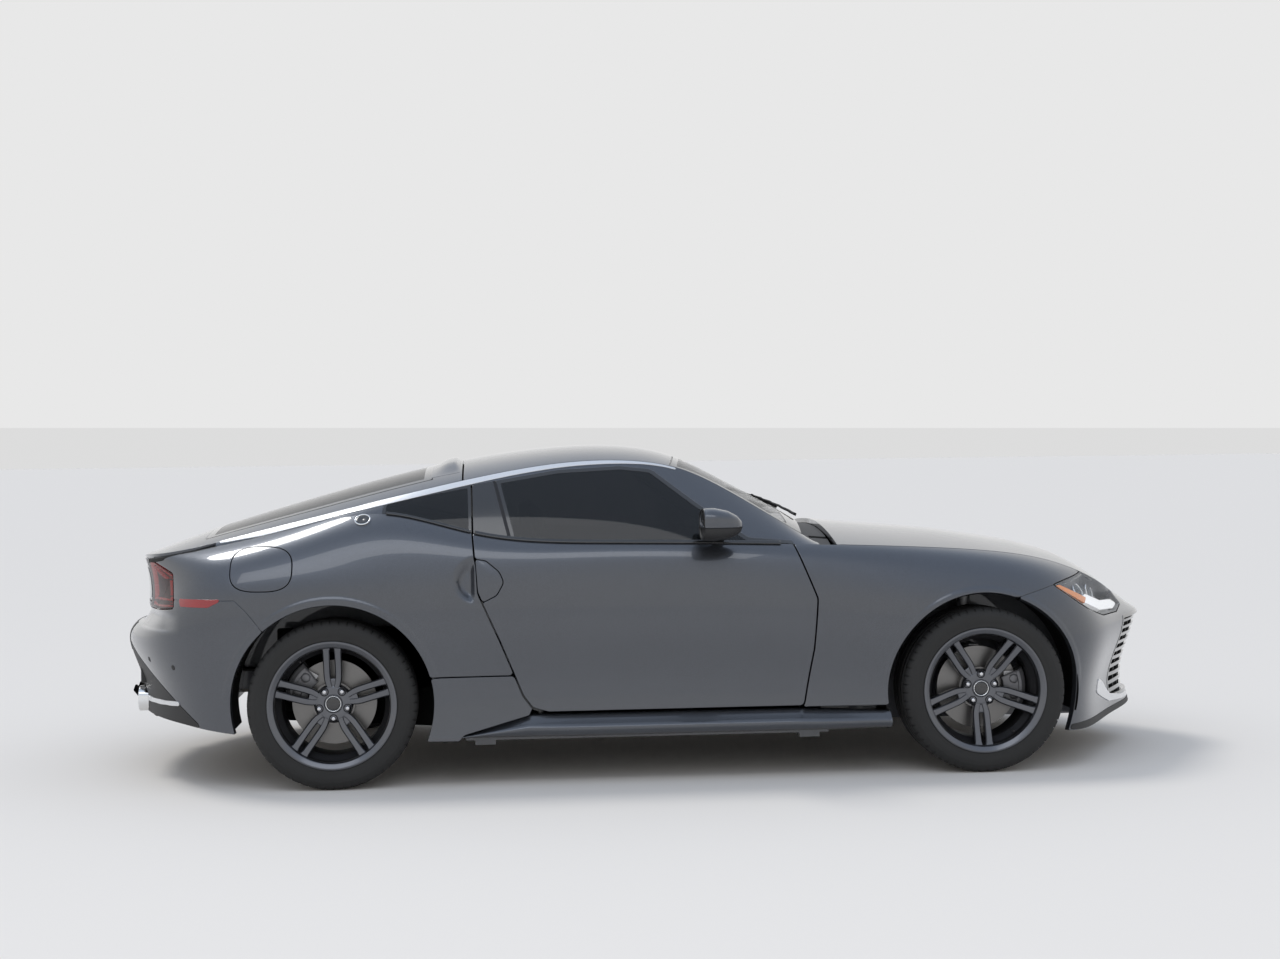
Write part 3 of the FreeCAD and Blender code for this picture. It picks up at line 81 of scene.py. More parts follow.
# A shell turned by a matrix of three rows and moved.
def placed(s, turn=np.eye(3), move=(0, 0, 0)):
    normals = None if s["normals"] is None else s["normals"] @ np.asarray(turn).T
    faces = s["faces"] if np.linalg.det(turn) > 0 else [f[:, ::-1] for f in s["faces"]]
    return shell(s["points"] @ np.asarray(turn).T + np.asarray(move, float), faces, normals)


# Rotation about an axis as a matrix of three rows.
def turnAbout(axis, angle):
    return np.array(Matrix.Rotation(angle, 3, axis))


# Makes an object with its finish, and says the body it rides on and the CAD nodes it stands for.
def build(name, s, material, body="body", nodes=()):
    corners = np.concatenate([f.ravel() for f in s["faces"]])
    used, corners = np.unique(corners, return_inverse=True)
    counts = np.concatenate([np.full(len(f), f.shape[1]) for f in s["faces"]])
    mesh = bpy.data.meshes.new(name)
    mesh.vertices.add(len(used))
    mesh.vertices.foreach_set("co", (s["points"][used] * 0.001).astype(np.float32).ravel())
    mesh.loops.add(len(corners))
    mesh.loops.foreach_set("vertex_index", corners.astype(np.int32))
    mesh.polygons.add(len(counts))
    mesh.polygons.foreach_set("loop_start", np.concatenate([[0], np.cumsum(counts)[:-1]]).astype(np.int32))
    mesh.polygons.foreach_set("use_smooth", np.ones(len(counts), bool))
    mesh.update(calc_edges=True)
    if s["normals"] is not None:
        mesh.normals_split_custom_set_from_vertices(unit(s["normals"][used]).tolist())
    mesh.materials.append(material)
    thing = bpy.data.objects.new(name, mesh)
    bpy.context.scene.collection.objects.link(thing)
    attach(thing, body)
    if nodes:
        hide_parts(*nodes)
    return thing


# A piece of the left side and its mirror image on the right, on the body or on the doors.
def sided(name, s, material, nodes=None, onDoor=False):
    for hand, one in (("left", s), ("right", mirrored(s))):
        build(name + hand.title(), one, material, "door_" + hand if onDoor else "body",
              [nodes + "_" + hand] if nodes else ())


# Grid of points as a shell: faces turn from the first direction towards the second.
def gridShell(p, closeU=False, closeV=False):
    nu, nv = p.shape[:2]
    i = np.arange(nu if closeU else nu - 1)
    j = np.arange(nv if closeV else nv - 1)
    a, b = np.meshgrid(i, j, indexing="ij")
    a2, b2 = (a + 1) % nu, (b + 1) % nv
    faces = np.stack([a * nv + b, a2 * nv + b, a2 * nv + b2, a * nv + b2], -1).reshape(-1, 4)
    return shell(p.reshape(-1, 3), [faces])


# Turned form: a profile of (radius, height) about Z, closed or open.
def turned(profile, steps=96, closed=True):
    profile = np.asarray(profile, float)
    a = np.linspace(0, 2 * np.pi, steps, endpoint=False)
    p = np.stack([profile[:, None, 0] * np.cos(a), profile[:, None, 0] * np.sin(a),
                  np.repeat(profile[:, None, 1], steps, 1)], -1)
    return gridShell(p, closeU=closed, closeV=True)


# Corners of an outline rounded by short parabolas.
def rounded(outline, radius, steps=6):
    points = np.asarray(outline, float)
    radii = np.broadcast_to(np.asarray(radius, float), len(points))
    result = []
    for k, b in enumerate(points):
        a, c = points[k - 1], points[(k + 1) % len(points)]
        u, w = unit(a - b), unit(c - b)
        half = math.acos(float(np.clip((u * w).sum(), -1, 1))) / 2
        if radii[k] < 1e-6 or half > 1.56:
            result.append(b)
            continue
        reach = min(radii[k] / math.tan(half), 0.48 * np.linalg.norm(a - b), 0.48 * np.linalg.norm(c - b))
        t = np.linspace(0, 1, steps + 1)[:, None]
        s, e = b + u * reach, b + w * reach
        result.extend(list((1 - t) ** 2 * s + 2 * t * (1 - t) * b + t * t * e))
    return np.array(result)


# Smooth cubic curve through points, as many steps between each two.
def curveThrough(points, steps=8):
    p = np.asarray(points, float)
    q = np.concatenate([2 * p[:1] - p[1:2], p, 2 * p[-1:] - p[-2:-1]])
    t = np.linspace(0, 1, steps, endpoint=False)[None, :, None]
    a, b, c, d = [q[k:len(q) - 3 + k][:, None] for k in range(4)]
    r = 0.5 * (2 * b + (c - a) * t + (2 * a - 5 * b + 4 * c - d) * t ** 2 + (3 * b - a - 3 * c + d) * t ** 3)
    return np.concatenate([r.reshape(-1, p.shape[1]), p[-1:]])


# Points at even spacing round a closed outline.
def evenly(outline, count):
    p = np.concatenate([outline, outline[:1]])
    length = np.concatenate([[0], np.cumsum(np.linalg.norm(np.diff(p, axis=0), axis=1))])
    s = np.linspace(0, length[-1], count, endpoint=False)
    return np.stack([np.interp(s, length, p[:, k]) for k in (0, 1)], 1)


# A profile of (across, out) carried along a path, given the outward direction at each point.
def swept(path, out, profile, closed=False, scale=None):
    path, out, profile = np.asarray(path, float), np.asarray(out, float), np.asarray(profile, float)
    if closed:
        along = unit(np.roll(path, -1, 0) - np.roll(path, 1, 0))
    else:
        along = unit(np.gradient(path, axis=0))
    out = unit(out - (out * along).sum(-1, keepdims=True) * along)
    across = np.cross(out, along)
    sizes = np.ones((len(path), 2)) if scale is None else np.asarray(scale, float).reshape(len(path), -1)
    p = (path[:, None] + across[:, None] * (profile[None, :, :1] * sizes[:, None, :1])
         + out[:, None] * (profile[None, :, 1:] * sizes[:, None, -1:]))
    body = gridShell(p, closeU=closed, closeV=True)
    if closed:
        return body
    n = len(profile)
    ends = np.stack([np.arange(n)[::-1], (len(path) - 1) * n + np.arange(n)])
    return shell(body["points"], body["faces"] + [ends])


# An ellipse as an outline.
def ellipse(a, b=None, steps=12):
    t = np.linspace(0, 2 * np.pi, steps, endpoint=False)
    return np.stack([a * np.cos(t), (b or a) * np.sin(t)], 1)


# Rounded bar profile: width, height, corner radius; the base of the profile is at zero.
def barProfile(width, height, radius, sink=0):
    w = width / 2
    return rounded([(w, -sink), (w, height), (-w, height), (-w, -sink)], [0, radius, radius, 0], 3)[::-1]


# A closed shell with its faces turned outwards, judged by the sign of its volume.
def outward(s):
    p, volume = s["points"], 0.0
    for f in s["faces"]:
        for k in range(1, f.shape[1] - 1):
            volume += (p[f[:, 0]] * np.cross(p[f[:, k]], p[f[:, k + 1]])).sum()
    return s if volume > 0 else shell(p, [f[:, ::-1] for f in s["faces"]], s["normals"])


# Rings of equal count joined into a closed body with flat ends.
def lofted(rings):
    p = np.asarray(rings, float)
    n, m = p.shape[:2]
    body = gridShell(p, closeV=True)
    ends = np.stack([np.arange(m)[::-1], (n - 1) * m + np.arange(m)])
    return outward(shell(body["points"], body["faces"] + [ends]))


# An outline moved inwards along its own normals.
def drawnIn(outline, distance):
    p = np.asarray(outline, float)
    along = unit(np.roll(p, -1, 0) - np.roll(p, 1, 0))
    area = (p[:, 0] * np.roll(p[:, 1], -1) - p[:, 1] * np.roll(p[:, 0], -1)).sum()
    return p + np.stack([-along[:, 1], along[:, 0]], 1) * (distance if area > 0 else -distance)


# A plate: an outline between two heights, its edges rounded by a quarter circle.
def slab(outline, low, high, edge=3.0, steps=3):
    t = np.linspace(0, np.pi / 2, steps + 1)
    levels = [(edge * (1 - math.sin(a)), low + edge * (1 - math.cos(a))) for a in t]
    levels += [(edge * (1 - math.sin(a)), high - edge * (1 - math.cos(a))) for a in t[::-1]]
    return lofted([np.column_stack([drawnIn(outline, d), np.full(len(outline), h)]) for d, h in levels])


# Turns that carry a plate's plane (a, b) and height h to (x, z, y) and to (y, z, x).
sideOn, frontOn = np.array([[1, 0, 0], [0, 0, 1], [0, 1, 0.0]]), np.array([[0, 0, 1], [1, 0, 0], [0, 1, 0.0]])


# A box with rounded corners and edges.
def roundBox(x0, x1, y0, y1, z0, z1, corner=8.0, edge=3.0):
    ring = rounded([(x0, y0), (x1, y0), (x1, y1), (x0, y1)], corner, 4)
    return slab(ring, z0, z1, edge)


# A pipe along a path. Its ring is set off from a direction that no pipe follows.
def tube(path, radius, steps=12):
    path = np.asarray(path, float)
    out = np.cross(unit(np.gradient(path, axis=0)), np.array([0.31, 0.17, 0.93]))
    return outward(swept(path, out, ellipse(radius, steps=steps)))


# Material nodes: a socket wrapped so that sums and products make math nodes.
class Wire:
    def __init__(self, tree, socket):
        self.tree, self.socket = tree, socket

    def math(self, kind, other):
        node = self.tree.nodes.new("ShaderNodeMath")
        node.operation = kind
        for socket, value in zip(node.inputs, (self, other)):
            feed(self.tree, socket, value)
        return Wire(self.tree, node.outputs[0])

    def __add__(self, other):
        return self.math("ADD", other)

    def __mul__(self, other):
        return self.math("MULTIPLY", other)

    def ramp(self, a, b):
        node = self.tree.nodes.new("ShaderNodeMapRange")
        node.interpolation_type = "SMOOTHSTEP"
        node.inputs["From Min"].default_value, node.inputs["From Max"].default_value = a, b
        self.tree.links.new(self.socket, node.inputs["Value"])
        return Wire(self.tree, node.outputs["Result"])


# Links a wire to a socket, or sets the socket's own value; a colour of three parts gets its alpha.
def feed(tree, socket, value):
    if isinstance(value, Wire):
        tree.links.new(value.socket, socket)
    else:
        socket.default_value = tuple(value) + (1.0,) if hasattr(value, "__len__") else value


# A mix of two colours.
def mixed(tree, factor, a, b):
    node = tree.nodes.new("ShaderNodeMix")
    node.data_type = "RGBA"
    for slot, value in ((0, factor), (6, a), (7, b)):
        feed(tree, node.inputs[slot], value)
    return Wire(tree, node.outputs[2])


# A material with one Principled shader, whose inputs are numbers, colours or wires.
class Finish:
    def __init__(self, name, **inputs):
        self.material = bpy.data.materials.new(name)
        self.material.use_nodes = True
        self.tree = self.material.node_tree
        self.tree.nodes.clear()
        out = self.tree.nodes.new("ShaderNodeOutputMaterial")
        self.surface = self.tree.nodes.new("ShaderNodeBsdfPrincipled")
        self.tree.links.new(self.surface.outputs[0], out.inputs["Surface"])
        self.set(**inputs)

    def set(self, **inputs):
        for key, value in inputs.items():
            feed(self.tree, self.surface.inputs[key.replace("_", " ")], value)

    def node(self, kind, output=0, **inputs):
        node = self.tree.nodes.new(kind)
        for key, value in inputs.items():
            feed(self.tree, node.inputs[key], value)
        return Wire(self.tree, node.outputs[output])

    # A texture drawn in the space of the object.
    def texture(self, kind, output=0, **inputs):
        return self.node(kind, output, Vector=self.node("ShaderNodeTexCoord", "Object"), **inputs)

    def noise(self, scale, detail=2.0, rough=0.5):
        return self.texture("ShaderNodeTexNoise", Scale=scale, Detail=detail, Roughness=rough)

    def blend(self, factor, a, b):
        return mixed(self.tree, factor, a, b)

    def bump(self, height, strength, distance):
        self.set(Normal=self.node("ShaderNodeBump", Height=height, Strength=strength, Distance=distance))


# Metallic paint: fine flakes shift brightness and tilt, under a clear coat.
def paintFinish(name, colour, deep, metal, rough):
    f = Finish(name, Metallic=metal, Coat_Weight=1.0, Coat_Roughness=0.025, Coat_IOR=1.5)
    flake = f.texture("ShaderNodeTexVoronoi", "Color", Scale=2600.0)
    glint = f.node("ShaderNodeSeparateColor", Color=flake)
    cloud = f.noise(5.0, 3.0)
    tone = (glint * 0.9 + cloud * 0.1).ramp(0.1, 0.9)
    f.set(Base_Color=f.blend(tone, deep, colour), Roughness=(cloud * 0.02) + (rough - 0.01))
    f.bump(glint, 0.04, 0.0004)
    return f.material


# Moulded plastic: a fine leathery grain.
def plasticFinish(name, colour, rough=0.55, grain=900.0, strength=0.25, coat=0.0):
    f = Finish(name, Coat_Weight=coat, Coat_Roughness=0.06)
    g = f.noise(grain, 3.0, 0.6)
    broad = f.noise(7.0, 2.0)
    f.set(Base_Color=f.blend(broad, tuple(c * 0.8 for c in colour), tuple(c * 1.15 for c in colour)),
          Roughness=(g * 0.12) + (rough - 0.06))
    f.bump(g, strength, 0.0003)
    return f.material


# Bare or coated metal: a fine grain and broad clouds.
def metalFinish(name, colour, rough=0.3, grain=300.0, strength=0.05, metal=1.0, coat=0.0):
    f = Finish(name, Metallic=metal, Coat_Weight=coat, Coat_Roughness=0.04)
    g = f.noise(grain, 4.0, 0.6)
    broad = f.noise(9.0, 3.0)
    f.set(Base_Color=f.blend(broad, tuple(c * 0.86 for c in colour), colour), Roughness=(g * 0.14) + (rough - 0.07))
    f.bump(g, strength, 0.0002)
    return f.material


# Glass: dark or clear, nearly smooth, and seen through by its alpha.
def glassFinish(name, colour, alpha):
    f = Finish(name, Base_Color=colour, IOR=1.5)
    film = f.noise(3.0, 2.0)
    f.set(Roughness=(film * 0.015) + 0.02, Alpha=(film * 0.03) + (alpha - 0.015))
    return f.material


# A glowing face under a clear coat.
def glowFinish(name, colour, strength, base):
    f = Finish(name, Base_Color=base, Emission_Strength=strength, Coat_Weight=1.0)
    band = f.noise(120.0, 1.0)
    f.set(Emission_Color=f.blend(band, tuple(c * 0.8 for c in colour), colour), Roughness=(band * 0.1) + 0.2)
    return f.material


paint = paintFinish("paintGrey", (0.114, 0.123, 0.143), (0.058, 0.062, 0.070), 0.85, 0.30)
paintInner = paintFinish("paintInner", (0.11, 0.115, 0.125), (0.07, 0.073, 0.08), 0.5, 0.5)
silver = paintFinish("silverSatin", (0.80, 0.81, 0.83), (0.66, 0.67, 0.69), 0.8, 0.38)
blackGloss = plasticFinish("blackGloss", (0.012, 0.012, 0.013), 0.18, 400.0, 0.02, 1.0)
blackPlastic = plasticFinish("blackPlastic", (0.018, 0.018, 0.019), 0.55, 900.0, 0.3)
blackDeep = plasticFinish("blackDeep", (0.006, 0.006, 0.006), 0.85, 300.0, 0.2)
rubberSeal = plasticFinish("rubberSeal", (0.01, 0.01, 0.01), 0.7, 1200.0, 0.2)
chrome = metalFinish("chromeBright", (0.90, 0.91, 0.92), 0.10, grain=60.0, strength=0.02)
glassTint = glassFinish("glassTint", (0.006, 0.007, 0.008), 0.78)
glassScreen = glassFinish("glassScreen", (0.012, 0.015, 0.016), 0.42)
lensClear = glassFinish("lensClear", (0.55, 0.58, 0.60), 0.16)
lensAmber = plasticFinish("lensAmber", (0.95, 0.28, 0.02), 0.2, 200.0, 0.05, 1.0)
lensRed = plasticFinish("lensRed", (0.30, 0.008, 0.012), 0.2, 200.0, 0.05, 1.0)
redDark = glassFinish("redDark", (0.03, 0.003, 0.004), 0.66)
redGlow = glowFinish("redGlow", (1.0, 0.04, 0.03), 0.35, (0.4, 0.01, 0.01))
print("finishes made", flush=True)


# Lower body, one half: plan point at the widest height (x, y), heights of the bottom, widest line
# and crest, insets from the plan loop, and the point of the top edge.
beltTable = [
    (2190, 0, 165, 564, 590, 50, 72, 58, 2002, 0, 672), (2190, 140, 165, 564, 590, 50, 72, 58, 2002, 190, 671),
    (1965, 455, 160, 564, 590, 50, 72, 58, 1940, 430, 670), (1795, 750, 150, 530, 650, 45, 45, 48, 1800, 585, 750),
    (1640, 885, 150, 500, 730, 25, 25, 70, 1590, 655, 830), (1400, 920, 180, 560, 790, 20, 30, 70, 1350, 710, 868),
    (1050, 918, 180, 600, 815, 20, 40, 65, 1030, 752, 890), (700, 897, 180, 630, 830, 5, 45, 40, 690, 785, 905),
    (250, 897, 180, 650, 840, 0, 45, 25, 250, 822, 922), (-250, 900, 180, 650, 845, 0, 45, 25, -250, 822, 930),
    (-700, 905, 180, 655, 850, 0, 45, 25, -700, 802, 940),
    (-1050, 922, 185, 660, 860, 10, 30, 35, -1080, 735, 1090),
    (-1400, 934, 200, 680, 860, 20, 15, 45, -1400, 712, 1006),
    (-1720, 905, 225, 680, 840, 40, 20, 50, -1720, 690, 936),
    (-1915, 801, 250, 560, 790, 70, 40, 50, -1960, 630, 888),
    (-2085, 557, 258, 556, 645, 60, 55, 102, -2050, 470, 876),
    (-2190, 207, 258, 556, 645, 60, 55, 102, -2110, 240, 872),
    (-2190, 0, 258, 556, 645, 60, 55, 102, -2110, 0, 872)]
# Upper surface: place, half width and height of the roof edge, height on the centre line.
topTable = [(640, 700, 905, 985), (540, 690, 965, 1040), (320, 640, 1105, 1160), (110, 605, 1220, 1277),
            (-100, 600, 1256, 1320), (-400, 605, 1250, 1317), (-760, 645, 1184, 1268), (-1080, 685, 1110, 1200),
            (-1400, 685, 1030, 1110), (-1720, 668, 955, 1020), (-1970, 640, 893, 935), (-2130, 560, 868, 870)]
# Centre line of the hood: place and height.
hoodTable = [(2002, 677), (1960, 710), (1900, 752), (1856, 780), (1790, 816), (1720, 846), (1600, 877),
             (1500, 896), (1250, 933), (1000, 957), (800, 975), (650, 990), (560, 998)]
# Height of the axles, their places along the car, and the radius of the wheel arches.
axleHeight, frontAxle, rearAxle, archRadius = 325, 1267, -1283, 387
# Behind this place the tail is cut by outlines seen from the rear.
tailLimit = -1885
# Spacing of the grids, and how far a distance from an outline is followed.
spacing, farOff = 7.5, 90.0


# Weights of the poles of a clamped cubic B-spline at each parameter.
def weights(count, t):
    knots = np.concatenate([np.zeros(4), np.arange(1, count - 3), np.full(4, count - 3.0)])
    t = np.clip(np.asarray(t, float), 0, count - 3 - 1e-9)[:, None]
    b = ((t >= knots[:-1]) & (t < knots[1:])).astype(float)
    for k in (1, 2, 3):
        low, high = knots[k:-1] - knots[:-k - 1], knots[k + 1:] - knots[1:-k]
        b = (b[:, :-1] * (t - knots[:-k - 1]) / np.where(low > 0, low, 1)
             + b[:, 1:] * (knots[k + 1:] - t) / np.where(high > 0, high, 1))
    return b


# Poles of the lower body: each row climbs from the bottom by the widest line and the crest to the top edge,
# drawn in from the plan loop by the row's insets.
def beltPoles():
    t = np.array(beltTable, float)
    x, y, bottom, wide, crest, inBottom, inLow, inCrest, topX, topY, topZ = t.T
    loop = t[:, :2]
    ends = np.concatenate([loop[1:2] * (1, -1), loop, loop[-2:-1] * (1, -1)])
    along = ends[2:] - ends[:-2]
    out = unit(np.stack([along[:, 1], -along[:, 0]], 1))
    out *= np.where(along[:, 1] * x - along[:, 0] * y > 0, 1, -1)[:, None]
    rise = wide - bottom

    def pole(inset, z):
        return np.column_stack([loop - out * np.reshape(inset, (-1, 1)), z])
    crestPole = pole(inCrest, crest)
    top = np.column_stack([topX, topY, topZ])
    lift = (crestPole + top) / 2
    lift[:, 2] = crestPole[:, 2] * 0.25 + top[:, 2] * 0.75
    return np.stack([pole(inBottom, bottom), pole(inBottom * 0.5 + inLow * 0.6, bottom + 0.18 * rise),
                     pole(inLow, bottom + 0.45 * rise), pole(0 * x, bottom + 0.85 * rise),
                     pole(0 * x, wide + 0.35 * (crest - wide)), crestPole, lift, top], 1)


# Poles of the upper surface: seven across, from one roof edge over the centre line to the other.
def topPoles():
    t = np.array(topTable, float)
    rows = [np.column_stack([t[:, 0], t[:, 1] * across, t[:, 2] + climb * (t[:, 3] - t[:, 2])])
            for across, climb in ((1, 0), (0.8, 0.6), (0.4, 1), (0, 1), (-0.4, 1), (-0.8, 0.6), (-1, 0))]
    return np.stack(rows, 1)


# Points of a surface on a grid of parameters, and at single pairs of parameters.
def surfaceGrid(net, u, v):
    return np.einsum("ia,jb,abk->ijk", weights(len(net), u), weights(net.shape[1], v), net)


def surfacePoints(net, u, v):
    return np.einsum("na,nb,abk->nk", weights(len(net), u), weights(net.shape[1], v), net)


# Last parameters of a surface in both directions.
def lastOf(net):
    return len(net) - 3.0, net.shape[1] - 3.0


beltNet, topNet = beltPoles(), topPoles()
beltEnd, topEnd = lastOf(beltNet), lastOf(topNet)


# Parameters at even spacing of length along a curve of a surface.
def evenParameters(net, along, at):
    ends = lastOf(net)
    t = np.linspace(0, ends[along], 4000)
    fixed = np.full(4000, ends[1 - along] * at)
    p = surfacePoints(net, *((t, fixed) if along == 0 else (fixed, t)))
    length = np.concatenate([[0], np.cumsum(np.linalg.norm(np.diff(p, axis=0), axis=1))])
    return np.interp(np.linspace(0, length[-1], int(length[-1] / spacing) + 1), length, t)


# A patch is a grid of points with the normals that face outwards.
class Patch:
    def __init__(self, p):
        self.p = p
        du, dv = np.gradient(p, axis=0), np.gradient(p, axis=1)
        self.e, self.f, self.g = (du * du).sum(-1), (du * dv).sum(-1), (dv * dv).sum(-1)
        self.n = unit(np.cross(du, dv))

    def moved(self, height):
        return Patch(self.p + self.n * np.broadcast_to(height, self.p.shape[:2])[..., None])

    # Signed distance measured on the surface itself: a field divided by its slope there.
    def true(self, field):
        su, sv = np.gradient(field)
        slope = (self.g * su * su - 2 * self.f * su * sv + self.e * sv * sv) / np.maximum(
            self.e * self.g - self.f ** 2, 1e-9)
        return field / np.clip(np.sqrt(np.maximum(slope, 0)), 0.25, 4)

    def axes(self, view):
        picks = {"side": (0, 2), "front": (1, 2), "plan": (0, 1)}[view]
        q = self.p[..., picks].copy()
        if view == "front":
            q[..., 0] = np.abs(q[..., 0])
        if view == "plan":
            q[..., 1] = np.abs(q[..., 1])
        return q

    # Inside an outline seen in a view: positive distance inside it, negative outside.
    def within(self, outline, view="side"):
        q = self.axes(view)
        ring = np.asarray(outline, float)
        low, high = ring.min(0) - farOff, ring.max(0) + farOff
        near = ((q >= low) & (q <= high)).all(-1)
        field = np.full(q.shape[:2], -farOff)
        pts = q[near]
        best = np.full(len(pts), 1e18)
        inside = np.zeros(len(pts), bool)
        for a, b in zip(ring, np.roll(ring, -1, 0)):
            d = b - a
            t = np.clip(((pts - a) @ d) / max(d @ d, 1e-12), 0, 1)
            best = np.minimum(best, ((pts - a - t[:, None] * d) ** 2).sum(1))
            crosses = (a[1] > pts[:, 1]) != (b[1] > pts[:, 1])
            if abs(d[1]) > 1e-12:
                inside ^= crosses & (pts[:, 0] < a[0] + (pts[:, 1] - a[1]) * d[0] / d[1])
        field[near] = np.where(inside, 1, -1) * np.minimum(np.sqrt(best), farOff)
        return self.true(field)

    # Distance beyond a circle about an axle.
    def beyond(self, x, radius=archRadius):
        return np.hypot(self.p[..., 0] - x, self.p[..., 2] - axleHeight) - radius

    # Distance from the last or first row of the grid.
    def fromEdge(self, axis, last=True):
        steps = np.linalg.norm(np.diff(self.p, axis=axis), axis=-1)
        pad = [(0, 0), (0, 0)]
        pad[axis] = (0, 1) if last else (1, 0)
        steps = np.pad(steps, pad)
        return np.flip(np.cumsum(np.flip(steps, axis), axis), axis) if last else np.cumsum(steps, axis)


# The part of a patch where a field is positive: whole cells, and cells cut along the zero line.
def clipped(patch, field):
    nu, nv = field.shape
    inside = (field > 0)
    grid = np.arange(nu * nv).reshape(nu, nv)
    horizontal = nu * nv + np.arange((nu - 1) * nv).reshape(nu - 1, nv)
    vertical = horizontal.size + nu * nv + np.arange(nu * (nv - 1)).reshape(nu, nv - 1)

    def between(a, b, fa, fb):
        t = np.clip(fa / np.where(np.abs(fa - fb) < 1e-12, 1, fa - fb), 0.02, 0.98)[..., None]
        return (a + (b - a) * t).reshape(-1, 3)
    data = []
    for q in (patch.p, patch.n):
        data.append(np.concatenate([q.reshape(-1, 3), between(q[:-1], q[1:], field[:-1], field[1:]),
                                    between(q[:, :-1], q[:, 1:], field[:, :-1], field[:, 1:])]))
    corner = [grid[:-1, :-1], grid[1:, :-1], grid[1:, 1:], grid[:-1, 1:]]
    edge = [horizontal[:, :-1], vertical[1:], horizontal[:, 1:], vertical[:-1]]
    bits = [inside[:-1, :-1], inside[1:, :-1], inside[1:, 1:], inside[:-1, 1:]]
    case = sum(b.astype(int) << k for k, b in enumerate(bits))
    faces = {}
    for value in range(1, 16):
        cells = case == value
        if not cells.any():
            continue
        ring = []
        for k in range(4):
            here, after = value >> k & 1, value >> (k + 1) % 4 & 1
            if here:
                ring.append(corner[k][cells])
            if here != after:
                ring.append(edge[k][cells])
        faces.setdefault(len(ring), []).append(np.stack(ring, 1))
    return shell(data[0], [np.concatenate(f) for f in faces.values()], unit(data[1]))


# Directed edges that only one face has.
def rimOf(faces):
    a = np.concatenate([f.ravel() for f in faces])
    b = np.concatenate([np.roll(f, -1, 1).ravel() for f in faces])
    big = max(a.max(), b.max()) + 1
    alone = ~np.isin(a * big + b, b * big + a)
    return a[alone], b[alone]


# A body panel: the clipped patch, its edge rolled over by a quarter circle, then a flange inwards.
def panel(patch, field, inset=0.0, radius=2.5, flange=12.0):
    s = clipped(patch, field - inset - radius)
    points, normals = s["points"], s["normals"]
    a, b = rimOf(s["faces"])
    d = unit(points[b] - points[a])
    out = np.zeros_like(points)
    np.add.at(out, a, np.cross(d, normals[a]))
    np.add.at(out, b, np.cross(d, normals[b]))
    rim = np.unique(np.concatenate([a, b]))
    slot = np.zeros(len(points), int)
    slot[rim] = np.arange(len(rim))
    p, n, o = points[rim], normals[rim], unit(out[rim])
    angles = np.linspace(0, np.pi / 2, 5)[1:]
    rings = [(p + o * (radius * math.sin(t)) - n * (radius * (1 - math.cos(t))), n * math.cos(t) + o * math.sin(t))
             for t in angles]
    reach = flange(p)[:, None] if callable(flange) else flange
    rings.append((p + o * radius - n * (radius + reach), o))
    start, before = len(points), rim
    faces = list(s["faces"])
    allPoints, allNormals = [points], [normals]
    for q, m in rings:
        now = start + np.arange(len(rim))
        faces.append(np.stack([before[slot[b]], before[slot[a]], now[slot[a]], now[slot[b]]], 1))
        allPoints.append(q)
        allNormals.append(m)
        start, before = start + len(rim), now
    return shell(np.concatenate(allPoints), faces, np.concatenate(allNormals))


# The same panel seen from indoors: the patch is turned over and moved inwards.
def lining(patch, field, depth, inset=0.0, radius=6.0, flange=8.0):
    inner = patch.p - patch.n * np.broadcast_to(depth, field.shape)[..., None]
    return panel(Patch(inner[::-1]), field[::-1], inset, radius, flange)


# A hollow whose depth grows smoothly with the distance from its edge.
def bowl(patch, field, depth, run):
    return clipped(patch.moved(-depth * ease(field, 0, run)), field)


# Both faces of a thick sheet with its closing edge: outer skin, inner skin and the strip between them.
def sheet(patch, field, inset):
    radius, wall = 1.2, 4.0
    outer = panel(patch, field, inset, radius, wall - 2 * radius)
    inner = clipped(patch, field - inset - radius)
    back = shell(inner["points"] - inner["normals"] * wall, [f[:, ::-1] for f in inner["faces"]], -inner["normals"])
    return joined(outer, back)


uBelt = evenParameters(beltNet, 0, 0.55)
vBelt = np.linspace(0, beltEnd[1], 112)
half = surfaceGrid(beltNet, uBelt, vBelt)
middleColumn = int(np.argmin(np.abs(half[:, 60, 0])))


# Height of the relief on the lower body: arch lips, a scoop behind the door and the tail shelf.
def relief(p):
    x, y, z = p[..., 0], np.abs(p[..., 1]), p[..., 2]
    rear, front = [np.hypot(x - axle, z - axleHeight) - archRadius for axle in (rearAxle, frontAxle)]
    h = 5.0 * (1 - ease(rear, 24, 33)) * ease(z, 300, 420)
    h = h + 3.0 * (1 - ease(front, 14, 24)) * ease(z, 300, 420)
    dish = (1 - ease(np.hypot((x + 722) * 0.95, z - 794), 52, 94)) * ease(-x, 728, 752) * ease(y, 500, 700)
    h = h - 26 * dish
    shelf = ease(-x, 1860, 1960)
    h = h - 15 * shelf * ease(z, 600, 622) * (1 - ease(z, 660, 690))
    return h


# The lower body as a patch with its relief.
def beltPatch(points):
    return Patch(points).moved(relief(points))


nosePoints = np.concatenate([half[middleColumn:0:-1] * (1, -1, 1), half[:middleColumn + 1]])
tailPoints = np.concatenate([half[middleColumn:], half[-2:middleColumn - 1:-1] * (1, -1, 1)])
side, nosePatch, tailPatch = beltPatch(half), beltPatch(nosePoints), beltPatch(tailPoints)


